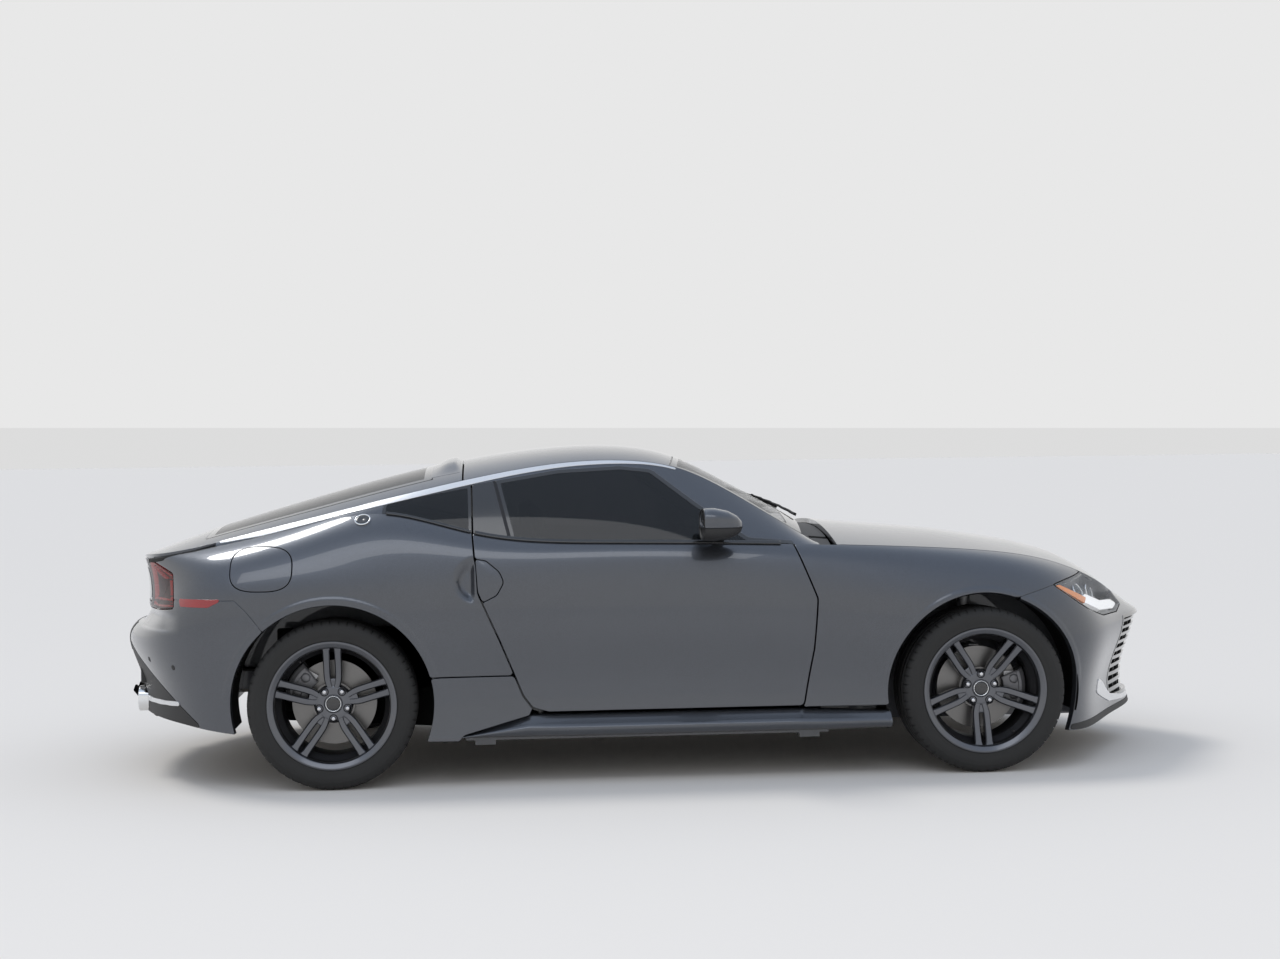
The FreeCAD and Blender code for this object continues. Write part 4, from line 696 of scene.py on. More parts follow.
# Point and outward normal of the left side at places (x, z), found by repeated small steps.
def onSide(x, z, lift=0.0):
    x, z = np.broadcast_arrays(np.asarray(x, float), np.asarray(z, float))
    shape = x.shape
    target = np.stack([x.ravel(), z.ravel()], 1)
    coarse = half[::6, ::4]
    nearest = ((coarse.reshape(-1, 1, 3)[..., (0, 2)] - target[None]) ** 2).sum(-1).argmin(0)
    u, v = uBelt[::6][nearest // coarse.shape[1]], vBelt[::4][nearest % coarse.shape[1]]
    small = 1e-4
    for _ in range(12):
        p = surfacePoints(beltNet, u, v)
        du = (surfacePoints(beltNet, u + small, v) - p) / small
        dv = (surfacePoints(beltNet, u, v + small) - p) / small
        miss = target - p[:, (0, 2)]
        det = du[:, 0] * dv[:, 2] - dv[:, 0] * du[:, 2]
        det = np.where(np.abs(det) < 1e-6, 1e-6, det)
        stepU = (miss[:, 0] * dv[:, 2] - miss[:, 1] * dv[:, 0]) / det
        stepV = (miss[:, 1] * du[:, 0] - miss[:, 0] * du[:, 2]) / det
        u = np.clip(u + np.clip(stepU, -0.4, 0.4), 0, beltEnd[0] - 2 * small)
        v = np.clip(v + np.clip(stepV, -0.4, 0.4), 0, beltEnd[1] - 2 * small)
    n = unit(np.cross(dv, du))
    n *= np.where(n[:, 1:2] * p[:, 1:2] + n[:, :1] * p[:, :1] * 0.2 > 0, 1, -1)
    return (p + n * lift).reshape(shape + (3,)), n.reshape(shape + (3,))


top = Patch(surfaceGrid(topNet, evenParameters(topNet, 0, 0.5), evenParameters(topNet, 1, 0.5)))
edgeCurve = surfacePoints(beltNet, np.linspace(0, beltEnd[0], 3000), np.full(3000, beltEnd[1]))
roofCurve = surfacePoints(topNet, np.linspace(0, topEnd[0], 3000), np.zeros(3000))


# Point of a curve that runs from nose to tail, at a place along the car.
def atPlace(curve, x):
    return np.stack([np.asarray(x, float), np.interp(-np.asarray(x), -curve[:, 0], curve[:, 1]),
                     np.interp(-np.asarray(x), -curve[:, 0], curve[:, 2])], -1)


# Side glass: straight from the belt to the roof edge with a slight bow outwards.
def glassSide(x0, x1):
    x = np.linspace(x0, x1, int(abs(x0 - x1) / spacing))
    low, high = atPlace(edgeCurve, x)[:, None], atPlace(roofCurve, x)[:, None]
    span = np.linalg.norm(high - low, axis=-1, keepdims=True)
    out = unit((high - low)[..., (0, 2, 1)] * (0, 1, -1))
    t = np.linspace(0, 1, 48)[None, :, None]
    return low + (high - low) * t + out * (4 * 0.035 * span * t * (1 - t))


# Hood: the centre line falls to the fender edges by a parabola across the car, and droops past its end.
def hoodGrid(end=1985):
    centreLine = curveThrough(hoodTable[::-1], 12)
    x = np.linspace(600, 2035, 192)
    place = np.minimum(x, end)
    middle = np.interp(place, centreLine[:, 0], centreLine[:, 1])
    edge = atPlace(edgeCurve, place)
    fall = (middle - edge[:, 2]) / edge[:, 1] ** 2
    drop = 0.75 * np.maximum(0, x - end)
    y = np.linspace(-830, 830, 222)
    z = (middle - drop)[:, None] - fall[:, None] * y ** 2
    return np.stack([np.broadcast_to(x[:, None], z.shape), np.broadcast_to(y, z.shape), z], -1)


glassPatch, hoodBase = Patch(glassSide(630, -1745)), Patch(hoodGrid())
print("surfaces ready", flush=True)


# Outlines seen from the side (x, z). Neighbours of a moving panel stand back by the shut gap, and the
# panels round a lamp or the fuel lid by the lamp gap.
gap, lampGap, edgeRound = 5.0, 3, 2.6
doorLine = [(600, 700), (585, 500), (545, 281), (-455, 281), (-515, 298), (-550, 345), (-640, 565), (-722, 750),
            (-742, 1010)]
doorRing = rounded([(515, 1010), (515, 925)] + doorLine, [0, 4, 40, 60, 22, 60, 30, 60, 60, 60, 0])
frontSeam = [(1412, 692), (1568, 732), (1640, 748), (1712, 760), (1760, 770)]
lampRing = rounded(frontSeam[1:] + [(1800, 900), (1962, 900), (1985, 655), (2030, 606), (1960, 586), (1829, 592),
                                    (1740, 622), (1674, 660)], [6, 20, 20, 0, 0, 0, 20, 8, 20, 30, 30, 20])
fenderRing = frontSeam + [(1760, 1010), (515, 1010), (515, 925), (600, 700), (585, 500), (545, 276), (1267, 276),
                          (1267, 692)]
bumperRing = [(2300, 0), (2300, 900), (1760, 900)] + frontSeam[::-1] + [(1412, 0)]
archSeam = [(-1283, 325), (-1540, 615), (-1600, 690), (-1648, 734), (-1901, 731)]
tailRing = rounded([(-1912, 828), (-1898, 699), (-1990, 684), (-2080, 672), (-2300, 672), (-2300, 1000),
                    (-2045, 1000), (-2036, 878)], [18, 8, 20, 20, 0, 0, 0, 10])
quarterRing = doorLine[:4:-1] + [(-582, 424), (-900, 424)] + archSeam + [(-2300, 731), (-2300, 1200), (-742, 1200)]
angle = np.linspace(0, 2 * np.pi, 72, endpoint=False)
reach = (np.abs(np.cos(angle)) ** 3 + np.abs(np.sin(angle)) ** 3) ** (-1 / 3)
lidMiddle = (-1549, 850)
lidRing = np.stack([lidMiddle[0] + 118 * reach * np.cos(angle), lidMiddle[1] + 82 * reach * np.sin(angle)], 1)
mouthRing = rounded([(-10, 225), (400, 225), (430, 300), (430, 520), (405, 556), (-10, 556)], [0, 20, 30, 30, 20, 0])
lowerRing = [(-582, 421), (-550, 345), (-515, 298), (-530, 268), (-780, 200), (-800, 178), (-940, 178), (-940, 421)]
handleRing = rounded([(-760, 880), (-690, 868), (-640, 826), (-622, 786), (-650, 736), (-700, 712), (-760, 706)],
                     [0, 30, 40, 30, 40, 20, 0])


# The part that lies in all of several fields.
def least(*fields):
    return np.minimum.reduce([np.broadcast_to(f, fields[0].shape) for f in fields])


# A field of the tail that counts only behind the sides.
def atTail(field, elsewhere=-farOff):
    return np.where(tailPatch.p[..., 0] < tailLimit, field, elsewhere)


doorField = side.within(doorRing)
archFront, archRear = side.beyond(frontAxle), side.beyond(rearAxle)
upperEdge = side.fromEdge(1)


# The panels beside the door turn in as deep as the door is thick.
def doorReturn(p):
    besideDoor = (p[:, 0] < 625) & (p[:, 0] > -765) & (p[:, 2] < 960)
    return np.where(besideDoor, 96, 16)


# Beside the hinge of the fuel lid the edge stays shallow, so that the lid swings clear.
def lidReturn(p):
    nearHinge = (np.abs(p[:, 0] + 1428) < 30) & (np.abs(p[:, 2] - lidMiddle[1]) < 100)
    return np.where(nearHinge, 3, doorReturn(p))


fender = panel(side, least(side.within(fenderRing), -doorField - gap, archFront, -side.within(lampRing) - lampGap,
                           upperEdge), 0, edgeRound, doorReturn)
sided("fender", fender, paint, "front_fender")

nose = least(nosePatch.within(bumperRing), nosePatch.beyond(frontAxle), -nosePatch.within(lampRing) - lampGap,
             -nosePatch.within(mouthRing, "front"), nosePatch.fromEdge(1))
build("frontBumper", panel(nosePatch, nose, 0, edgeRound, 20), paint, nodes=["front_bumper"])

# The door turns in less deep towards its hinge.
handleField = least(side.within(handleRing), doorField)
door = panel(side, least(doorField, upperEdge, -handleField - 2), 0, edgeRound,
             lambda p: 86 - 16 * ease(p[:, 0], 430, 540))
sided("doorSkin", door, paint, "door", onDoor=True)
handle = panel(side.moved(1.6 * ease(handleField, 0, 30)), handleField, 0.6, 2.4, 14)
sided("handlePlate", handle, paint, onDoor=True)

# Quarter panels, with an opening for the fuel lid on the right only.
hatchDrop = [(-10, 700), (400, 700), (400, 1000), (-10, 1000)]
quarter = least(side.within(quarterRing), -doorField - gap, archRear, -side.within(tailRing) - lampGap, upperEdge,
                np.where(side.p[..., 0] < tailLimit, -side.within(hatchDrop, "front"), farOff))
lidField = side.within(lidRing)
build("quarterLeft", panel(side, quarter, 0, edgeRound, doorReturn), paint,
      nodes=["quarter_panel_left"])
quarterRight = panel(side, least(quarter, -lidField - lampGap), 0, edgeRound, lidReturn)
build("quarterRight", mirrored(quarterRight), paint, nodes=["quarter_panel_right"])
lower = panel(side, least(side.within(lowerRing), archRear, -doorField - gap), 1, edgeRound, 30)
sided("quarterLower", lower, paint)
build("fuelLid", mirrored(panel(side, lidField, 0, 1.6, 6)), paint, "fuel_lid", ["fuel_lid"])

# Rear bumper and the diffuser below it, which meet along the valance line.
dropHole = tailPatch.within(hatchDrop, "front")
tailField = least(tailPatch.within(archSeam + [(-2300, 731), (-2300, 100), (-1283, 100)]),
                  tailPatch.beyond(rearAxle), -tailPatch.within(tailRing) - lampGap, atTail(-dropHole, farOff))
valance = tailPatch.within([(-2400, 552), (-2146, 542), (-1800, 252), (-1800, 0), (-2400, 0)])
valanceRear = tailPatch.within(rounded([(-10, 0), (900, 0), (900, 291), (650, 288), (540, 312), (440, 400),
                                        (336, 510), (-10, 510)], [0, 0, 0, 60, 60, 60, 5, 0]), "front")
valance = atTail(np.maximum(valance, valanceRear), valance)
tipHole = atTail(tailPatch.within(rounded([(270, 240), (390, 240), (390, 360), (270, 360)], 59), "front"))
build("rearBumper", panel(tailPatch, least(tailField, -valance), 0, edgeRound, 16), paint,
      nodes=["rear_bumper"])
build("diffuser", panel(tailPatch, least(tailField, valance, -tipHole), 2, 2, 16), blackPlastic,
      nodes=["diffuser"])
print("lower panels", flush=True)

# Roof, hatch and windscreen share the upper surface; the header is where the roof meets the windscreen.
roofEnd, hatchStart, rearGlassStart, rearGlassEnd = -775, -781, -900, -1800
roofEdgeField = least(top.fromEdge(1), top.fromEdge(1, False))
xTop, yTop = top.p[..., 0], top.p[..., 1]
header = 52 + 55 * (1 - (yTop / 600) ** 2)
roofField = least(top.true(xTop - roofEnd), top.true(header - xTop), roofEdgeField)
topRound, topFlange = 2.4, 18
build("roof", panel(top, roofField, 0, topRound, topFlange), paint, nodes=["roof_panel"])
hatchPlan = np.concatenate([[(-600, -10)], roofCurve[(roofCurve[:, 0] < -600) & (roofCurve[:, 0] > -1740)][::20, :2],
                            edgeCurve[(edgeCurve[:, 0] < -1740) & (edgeCurve[:, 0] > -2102)][::20, :2],
                            [(-2102, -10)]])
hatchOuter = least(top.true(hatchStart - xTop), top.within(hatchPlan, "plan") - 2)
glassHole = least(top.true(rearGlassStart - xTop), top.true(xTop - rearGlassEnd), roofEdgeField - 95)
drop = least(tailPatch.within([(-10, 705), (395, 705), (395, 1000), (-10, 1000)], "front"), tailPatch.fromEdge(1))
hatch = joined(panel(top, least(hatchOuter, -glassHole), 0, topRound, topFlange),
               panel(tailPatch, atTail(drop), 0, topRound, 14))
build("hatch", hatch, paint, "hatch", ["hatch"])
build("hatchGlass", sheet(top, glassHole, 1.5), glassTint, "hatch", ["hatch_glass"])
screenField = least(top.true(xTop - header - 3), top.true(605 - 30 * (yTop / 690) ** 2 - xTop), roofEdgeField)
build("windscreen", sheet(top, screenField, 1.5), glassScreen, nodes=["windscreen"])

# Side windows: the rails round them, then the door's glass, the post and the quarter glass.
windowRing = rounded([(522, 840), (522, 923), (344, 938), (150, 1074), (-25, 1212), (-150, 1226), (-400, 1214),
                      (-760, 1156), (-1090, 1098), (-1090, 840)], [0, 6, 60, 60, 60, 60, 60, 60, 40, 0])
windowField = glassPatch.within(windowRing)
railField = least(-windowField, glassPatch.fromEdge(0), glassPatch.fromEdge(0, False))
rail = panel(glassPatch, railField, 0, 2, lambda p: 16 - 13 * ease(p[:, 0], 200, 300))
build("roofRails", bothSides(rail), paint, nodes=["roof_rails"])
xGlass, zGlass = glassPatch.p[..., 0], glassPatch.p[..., 2]
divider = -590 - 66 * (zGlass - 925) / 265
seamLine = -738 - 4 * (zGlass - 925) / 265
doorPane = least(windowField, xGlass - divider - 4)
postField = least(windowField, divider - 4 - xGlass, xGlass - seamLine)
quarterPane = least(windowField, seamLine - 5 - xGlass)
sided("doorGlass", sheet(glassPatch, doorPane, 2), glassTint, "door_glass", onDoor=True)
sided("doorPost", panel(glassPatch.moved(1.5), postField, 1, 2, 14), blackGloss, onDoor=True)
for name, pane, width, onDoor in (("doorFrit", doorPane, 17, True), ("quarterFrit", quarterPane, 12, False)):
    frit = panel(glassPatch.moved(0.8), least(pane, width - pane), 0, 0.6, 4)
    sided(name, frit, blackGloss, onDoor=onDoor)
build("quarterGlass", bothSides(sheet(glassPatch, quarterPane, 2)), glassTint,
      nodes=["quarter_windows"])

rearEdge = edgeCurve[edgeCurve[:, 0] > 690][:, :2][::12]
hoodPlan = hoodBase.within(np.concatenate([[[2002, -10]], rearEdge, [[720, 0], [720, -10]]]), "plan")
build("hood", panel(hoodBase, hoodPlan, 5, topRound, topFlange), paint, "hood", ["hood"])
print("upper panels", flush=True)


# Wheels, drawn about their axle with the outside of the car above and the mounting face at zero. Levels
# are counted from there, and m or middle is the level of the tyre's middle.
alloy = metalFinish("alloyGrey", (0.135, 0.14, 0.155), 0.30, grain=500.0, strength=0.03, metal=0.9, coat=0.6)
# Near-black alloy: the own colour of the seat rails, engine cover ribs and window dividers, and painted shade on the
# wheels' barrels and nut pockets.
alloyDarkAndShade = metalFinish("alloyDarkAndShade", (0.035, 0.035, 0.038), 0.45, grain=300.0, strength=0.05, metal=0.8)
iron = metalFinish("ironTurned", (0.22, 0.215, 0.21), 0.36, grain=500.0)
caliperGrey = metalFinish("caliperGrey", (0.20, 0.20, 0.21), 0.45, grain=700.0, strength=0.15, metal=0.6)
steelNut = metalFinish("steelNut", (0.75, 0.75, 0.77), 0.22, grain=200.0, strength=0.03)
tyreFinish = plasticFinish("tyreRubber", (0.017, 0.017, 0.017), 0.72, 600.0, 0.35)


# Tyre: half a profile (radius, half width) and its mirror image, turned about the axle. The shoulders
# have sixty slots and the side walls a ring of fine ribs.
def tyreShell(middle):
    pitch = np.array([0, 0.05, 0.08, 0.16, 0.19, 0.6])
    angles = ((np.arange(60)[:, None] + pitch) / 60).ravel() * 2 * np.pi
    slotted = np.tile([0, 0, 1.0, 1.0, 0, 0], 60)
    half = np.array([(226, 96), (230, 106), (238, 109), (247, 112), (254, 116.5), (257, 116.2), (268, 120.5),
                     (279, 122.2), (286, 122.5), (291, 121.6), (293, 122.0), (297, 120.8), (304, 118),
                     (311, 114), (317, 108), (321, 101), (323.4, 93), (324.3, 84), (324.5, 77), (316.5, 76),
                     (316.5, 67), (324.8, 66), (325, 38), (317, 37), (317, 27), (325, 26), (325, 10)], float)
    profile = np.concatenate([half * (1, -1), half[::-1]])[::-1]
    r = profile[:, :1] - slotted * 5.0 * (ease(profile[:, :1], 312, 319) * ease(np.abs(profile[:, 1:]), 78, 82))
    r = r - 1.2 * (np.sin(angles * 90) > 0.4) * (np.abs(profile[:, :1] - 300) < 6)
    p = np.stack([r * np.cos(angles), r * np.sin(angles), np.repeat(profile[:, 1:] + middle, len(angles), 1)], -1)
    return gridShell(p, closeV=True)


# Barrel of the rim: a closed profile turned about the axle.
def barrelShell(m):
    return turned(rounded([(247, m + 108), (246, m + 116), (240, m + 116.5), (233, m + 111), (226, m + 107),
                           (221, m + 92), (218, m + 66), (199, m + 44), (198, m - 70), (220, m - 92),
                           (221, m - 110), (238, m - 116), (247, m - 115), (246, m - 108), (229, m - 106),
                           (228, m - 88), (206, m - 70), (206, m + 50), (228, m + 72), (229, m + 106)], 1.8, 2), 144)


# Radii where a spoke starts and ends, and levels of its front there, the second one counted from the middle.
spokeStart, spokeEnd, hubLevel, lipLevel = 46, 227, 21, 96


# Height of a spoke's front face at a distance from the axle: a hollow curve from a start up to the lip.
def climb(r, start, m):
    t = (r - spokeStart) / (spokeEnd - spokeStart)
    return start + (m + lipLevel - hubLevel) * (0.35 * t + 0.65 * np.maximum(t, 0) ** 1.7)


# One bar of a double spoke: a bar profile carried from the hub up the hollow curve to the lip.
def spokeShell(hand, m):
    r = np.array([spokeStart, 58, 72, 88, 106, 130, 156, 182, 204, 218, spokeEnd], float)
    top = climb(r, hubLevel, m)
    beside = hand * np.interp(r, [46, 70, 96, 140, 227], [6, 15.5, 21.5, 22.5, 22.0])
    path = curveThrough(np.stack([r, beside, top], 1), 4)
    wide = np.interp(path[:, 0], [46, 70, 96, 150, 205, 218, 227], [20, 24, 27, 27, 29, 35, 46]) / 28
    deep = np.interp(path[:, 0], [46, 120, 227], [0.75, 1.0, 0.8])
    profile = rounded([(-14, -30), (-14, -6.5), (-9.5, 0), (9.5, 0), (14, -6.5), (14, -30)],
                      [0, 2, 1.6, 1.6, 2, 0], 3)
    slope = np.gradient(path[:, 2]) / np.gradient(path[:, 0])
    out = unit(np.stack([-slope, 0 * slope, 1 + 0 * slope], 1))
    return swept(path, out, profile[::-1], scale=np.stack([wide, deep], 1))


# Rim: five double spokes with a web between their two bars, on a hub and inside a lip.
def rimShells(m):
    rWeb = np.linspace(44, 97, 8)
    yWeb = np.linspace(-1, 1, 5)[None] * np.interp(rWeb, [44, 97], [14, 16])[:, None]
    zWeb = climb(rWeb, hubLevel - 4, m)
    webTop = np.stack([np.repeat(rWeb[:, None], 5, 1), yWeb, np.repeat(zWeb[:, None], 5, 1)], -1)
    web = gridShell(np.concatenate([webTop, (webTop - (0, 0, 22))[::-1]]), closeU=True)
    spokes = [spokeShell(1, m), spokeShell(-1, m), web]
    five = [placed(s, turnAbout("Z", k * 2 * math.pi / 5)) for k in range(5) for s in spokes]
    hub = turned(rounded([(25.3, 0.5), (76, 0.5), (76, 8), (68, 20), (60, 24), (36, 24), (33, 20), (25.3, 20)],
                         2, 3), 72)
    lip = turned(rounded([(247.4, m + 107), (246.6, m + 116.6), (240, m + 117.2), (233, m + 112), (224, m + 106),
                          (218, m + 92), (222, m + 92), (230, m + 103), (240, m + 108)], 1.6, 2), 144)
    return joined(lip, hub, *five)


# Wheel nut: a hexagon with softened corners, drawn in towards a domed end.
def nutShell():
    hexagon = np.array([[math.cos(k * math.pi / 3), math.sin(k * math.pi / 3)] for k in range(6)])
    ring = rounded(hexagon * 10.4, 1.2, 2)
    levels = np.array([(1.06, -6), (1.06, 6), (1.0, 9), (0.82, 12.5), (0.5, 14.6), (0.15, 15.2)])
    p = np.concatenate([ring[None] * levels[:, :1, None],
                        np.broadcast_to(levels[:, 1:, None], (len(levels), len(ring), 1))], -1)
    return joined(gridShell(p[:, ::-1], closeV=True), shell(p[-1], [np.arange(len(ring))[None]]))


# A caliper as an outline (radius, height) carried round an arc, with two bare domes and a bridge.
def caliperShell(turn):
    outline = rounded([(101, -13), (128, -8), (168, -9), (193, -17), (197, -30), (197, -74), (192, -86), (104, -90)],
                      [4, 8, 8, 6, 6, 6, 6, 4], 3)
    arc = np.radians(np.linspace(-23, 23, 15)) + turn
    n, count, faceLevel = len(outline), len(arc), -9.0
    p = np.stack([outline[None, :, 0] * np.cos(arc)[:, None], outline[None, :, 0] * np.sin(arc)[:, None],
                  np.broadcast_to(outline[None, :, 1], (count, n))], -1)
    body = gridShell(p, closeV=True)
    ends = np.stack([np.arange(n), (count - 1) * n + np.arange(n)[::-1]])
    body["faces"] = [f[:, ::-1] for f in body["faces"]] + [ends]
    dome = turned([(0.1, 7), (12, 6.4), (17, 4), (19, 0), (19, -4)], 28, closed=False)
    domes = [placed(dome, move=(146 * math.cos(a + turn), 146 * math.sin(a + turn), faceLevel))
             for a in (-0.22, 0.22)]
    bridge = swept(np.stack([170 * np.cos(arc), 170 * np.sin(arc), np.full(count, faceLevel)], 1),
                   np.tile([0, 0, 1.0], (count, 1)), barProfile(14, 5, 2, 3))
    return joined(body, bridge, *domes)


# Copies of a part in the places of the five wheel nuts.
def fiveRound(s, radius=57.2, level=22):
    return joined(*[placed(s, move=(radius * math.cos(a), radius * math.sin(a), level))
                    for a in (np.arange(5) + 0.5) * 2 * math.pi / 5])


# For each axle: its place, half the track, middle of the tyre from the mounting face, turn of the first
# spoke about the axle and turn of the caliper.
for axle, x, mount, middle, firstSpoke, caliperAt in (("front", frontAxle, 795, -20.5, math.pi, 0.0),
                                                      ("rear", rearAxle, 810, -25.5, 0.0, math.radians(150))):
    stem = placed(turned([(0.1, 24), (3, 24), (4.2, 22), (4.2, 2), (3, 0)], 16, closed=False),
                  move=(206 * math.cos(0.62), 206 * math.sin(0.62), middle + 66))
    # The barrel and the nut pockets take the near-black alloy, darker than the alloy of the spokes and lip: painted
    # shade inside the wheel and round the nuts.
    wheelParts = (
        ("tyre", tyreShell(middle), tyreFinish, "rubber"), ("rim", rimShells(middle), alloy, "alloy"),
        ("barrel", barrelShell(middle), alloyDarkAndShade, "alloy"), ("nuts", fiveRound(nutShell()), steelNut, None),
        ("pockets", fiveRound(turned(rounded([(13, -4), (17, -4), (17, 3.2), (15.2, 4.2), (13, 3)], 0.8, 2), 28)),
         alloyDarkAndShade, None),
        ("cap", turned([(0.1, 31), (12, 30.6), (22, 29.2), (26, 27), (27, 22), (27, 10)], 48, closed=False),
         blackGloss, None),
        ("capRing", turned(rounded([(27, 20), (31, 20), (31, 27.5), (29, 29.6), (27, 28)], 1, 3), 48), chrome, None),
        ("stem", stem, blackPlastic, None))
    for hand, name in ((1, "left"), (-1, "right")):
        # The wheel's own axis points out of the car: +Y on the left and -Y on the right.
        toSide = np.array([[0, hand, 0], [0, 0, hand], [1, 0, 0]], float)
        seat = toSide @ turnAbout("Z", firstSpoke)
        wheel, title = "%s_%s" % (axle, name), axle.title() + name.title()
        at = (x, hand * mount, axleHeight)
        for part, s, finish, slot in wheelParts:
            build(part + title, placed(s, seat, at), finish, "wheel_" + wheel,
                  ["%s_%s" % (part, wheel)] if part in ("tyre", "rim") else ())
        # The caliper's own frame: forwards is +X of the car.
        level = np.array([[1, 0, 0], [0, 0, hand], [0, 1, 0]], float)
        build("caliper" + title, placed(caliperShell(caliperAt), level, at), caliperGrey,
              "knuckle_" + name if axle == "front" else "body")
print("wheels", flush=True)


# Skirt under the doors: a ledge that stands out from the door and tucks in below it. Its section has a
# side step, a share of the height and a share of the way from the door's face to the ledge at each point.
def skirtGrid():
    x = np.concatenate([np.linspace(893, 860, 8), np.linspace(850, -540, 150), np.linspace(-550, -790, 30)])
    line = np.interp(x, [-790, -780, -528, 509, 844, 893], [200, 203, 268, 267, 254, 251])
    face = onSide(x, np.full(len(x), 300.0))[0][:, 1]
    foot = onSide(x, np.full(len(x), 200.0))[0][:, 1]
    swell = ease(x, -790, -300) * (1 - ease(x, 600, 890) * 0.75)
    wide = np.maximum(face - 8, foot) + 14 * swell
    low = 182 + 3 * (1 - swell)
    step, climbed, out = np.array([
        (-112, 1.02, 0), (-16, 1.02, 0), (-9, 0.99, 0), (-5, 0.93, 0), (-1, 0.80, 0.15), (0, 0.62, 0.55),
        (0, 0.50, 0.9), (-1.2, 0.40, 1), (-5, 0.28, 1), (-12, 0.14, 1), (-24, 0.04, 1), (-44, 0, 1),
        (-112, 0, 1)]).T[:, None]
    y = (face[:, None] - 6) * (1 - out) + wide[:, None] * out + step
    z = low[:, None] + (line - low)[:, None] * climbed
    return np.stack([np.broadcast_to(x[:, None], y.shape), y, z], -1)


build("skirts", bothSides(lofted(skirtGrid())), paint, nodes=["sills"])

# Bright strip along the edge of the roof, wider towards the tail.
reachUp = glassPatch.fromEdge(1)
stripWide = np.interp(-xGlass, [-40, 250, 700, 1150, 1560, 1735], [11, 20, 27, 34, 30, 10])
strip = least(reachUp - 3, stripWide + 3 - reachUp, glassPatch.true(80 - xGlass), glassPatch.true(xGlass + 1728))
build("roofStrips", bothSides(panel(glassPatch.moved(2.4), strip, 0, 1.6, 5)), silver)

# Rubber and gloss trim where the side glass meets the body, parted where the door ends.
place = np.linspace(470, -1075, 190)
belt = atPlace(edgeCurve, place) + (0, 1.5, 2.5)
outwards = np.tile([0, 0.8, 0.6], (len(place), 1))
for name, kept, profile, onDoor in (("beltTrim", place > -733, barProfile(15, 6, 2.6, 6), True),
                                    ("quarterTrim", place < -745, barProfile(12, 5, 2.2, 6), False)):
    sided(name, outward(swept(belt[kept], outwards[kept], profile)), blackGloss, onDoor=onDoor)
dividerField = least(windowField - 3, 6.5 - np.abs(glassPatch.true(xGlass - divider)))
sided("divider", panel(glassPatch.moved(2.6), dividerField, 0, 1.2, 6), alloyDarkAndShade, onDoor=True)

# Low fin across the car where the roof meets the hatch.
finField = least(top.true(-790 - xTop), top.true(xTop + 905), 545 - np.abs(yTop), roofEdgeField - 30)
finHeight = 17 * ease(-xTop, 786, 812) * (1 - ease(-xTop, 830, 905)) * (1 - ease(np.abs(yTop), 380, 545))
build("hatchFin", panel(top.moved(0.8 + finHeight), finField, 0, 1, 3), paint, "hatch")

# Door mirrors: a housing lofted through superellipses (place, half width, half height, middle), painted
# above a level and black below it, its glass set into the rear face.
mirrorTable = ((146, 90, 60, 999), (152, 93, 63, 999), (190, 93, 64, 998), (240, 84, 56, 995),
               (276, 64, 40, 992), (294, 40, 23, 990), (301, 14, 8, 989))
power = (np.abs(np.cos(angle)) ** 2.7 + np.abs(np.sin(angle)) ** 2.7) ** (-1 / 2.7)
mirrorMiddle, mirrorTilt, mirrorLevel = 925, 5, 986
mirrorRings = np.array([np.stack([np.full(72, a), mirrorMiddle + w * power * np.cos(angle),
                                  c + h * power * np.sin(angle) + mirrorTilt * np.cos(angle)], 1)
                        for a, w, h, c in mirrorTable])


# The housing on one side of the level, the rest pressed flat into it.
def mirrorPart(sign, grow=0.0):
    rings = mirrorRings + unit(mirrorRings - mirrorRings.mean(1, keepdims=True)) * grow
    kept = (rings[..., 2] - mirrorLevel) * sign > 0
    rings[..., 2] = np.where(kept, rings[..., 2], mirrorLevel)
    return lofted(rings)


# A ring drawn together about its middle and moved.
def shrunk(ring, share, move=(0, 0, 0)):
    return (ring - ring.mean(0)) * share + ring.mean(0) + move


mirrorFace = mirrorRings[0]
bezelRings = [mirrorFace, shrunk(mirrorFace + (-3, 0, 0), 0.93)]
bezelRings.append(shrunk(bezelRings[1], 0.96, (9, 0, 0)))
# The mirror's arm: one section, sized and moved on its way outwards (y, size, move, rise).
armRing, armX, armZ = rounded([(196, 936), (246, 938), (248, 962), (200, 966)], 10, 5), 222, 950
arm = lofted([np.column_stack([(armRing[:, 0] - armX) * s + armX + move, np.full(len(armRing), y),
                               (armRing[:, 1] - armZ) * s + armZ + rise])
              for y, s, move, rise in ((796, 1.5, 0, -2), (806, 1.3, 0, 0), (822, 1.05, 0, 3), (845, 1, 0, 8),
                                       (866, 1.05, -2, 20), (884, 1.2, -4, 34))])
mirrorGlassFinish = metalFinish("mirrorGlass", (0.82, 0.84, 0.86), 0.04, grain=40.0, strength=0.005)
sided("mirror", mirrorPart(1), paint, "mirror", onDoor=True)
sided("mirrorBase", mirrorPart(-1, 0.6), blackPlastic, onDoor=True)
sided("mirrorBezel", gridShell(np.array(bezelRings)[:, ::-1], closeV=True), blackPlastic, onDoor=True)
mirrorGlass = lofted([shrunk(mirrorFace, 0.88, (a, 0, 0)) for a in (1.0, 4.0)])
sided("mirrorGlass", mirrorGlass, mirrorGlassFinish, onDoor=True)
sided("mirrorArm", arm, blackPlastic, onDoor=True)
print("skirts, trim and mirrors", flush=True)


# Pieces turned about a point of the body side, their axis along the outward normal.
def onBody(s, x, z, lift=0.0):
    p, n = onSide([x], [z], lift)
    n, along = n[0], np.array([1.0, 0, 0])
    a = unit(along - n * (along @ n))
    return placed(s, np.stack([a, np.cross(n, a), n], 1), p[0])


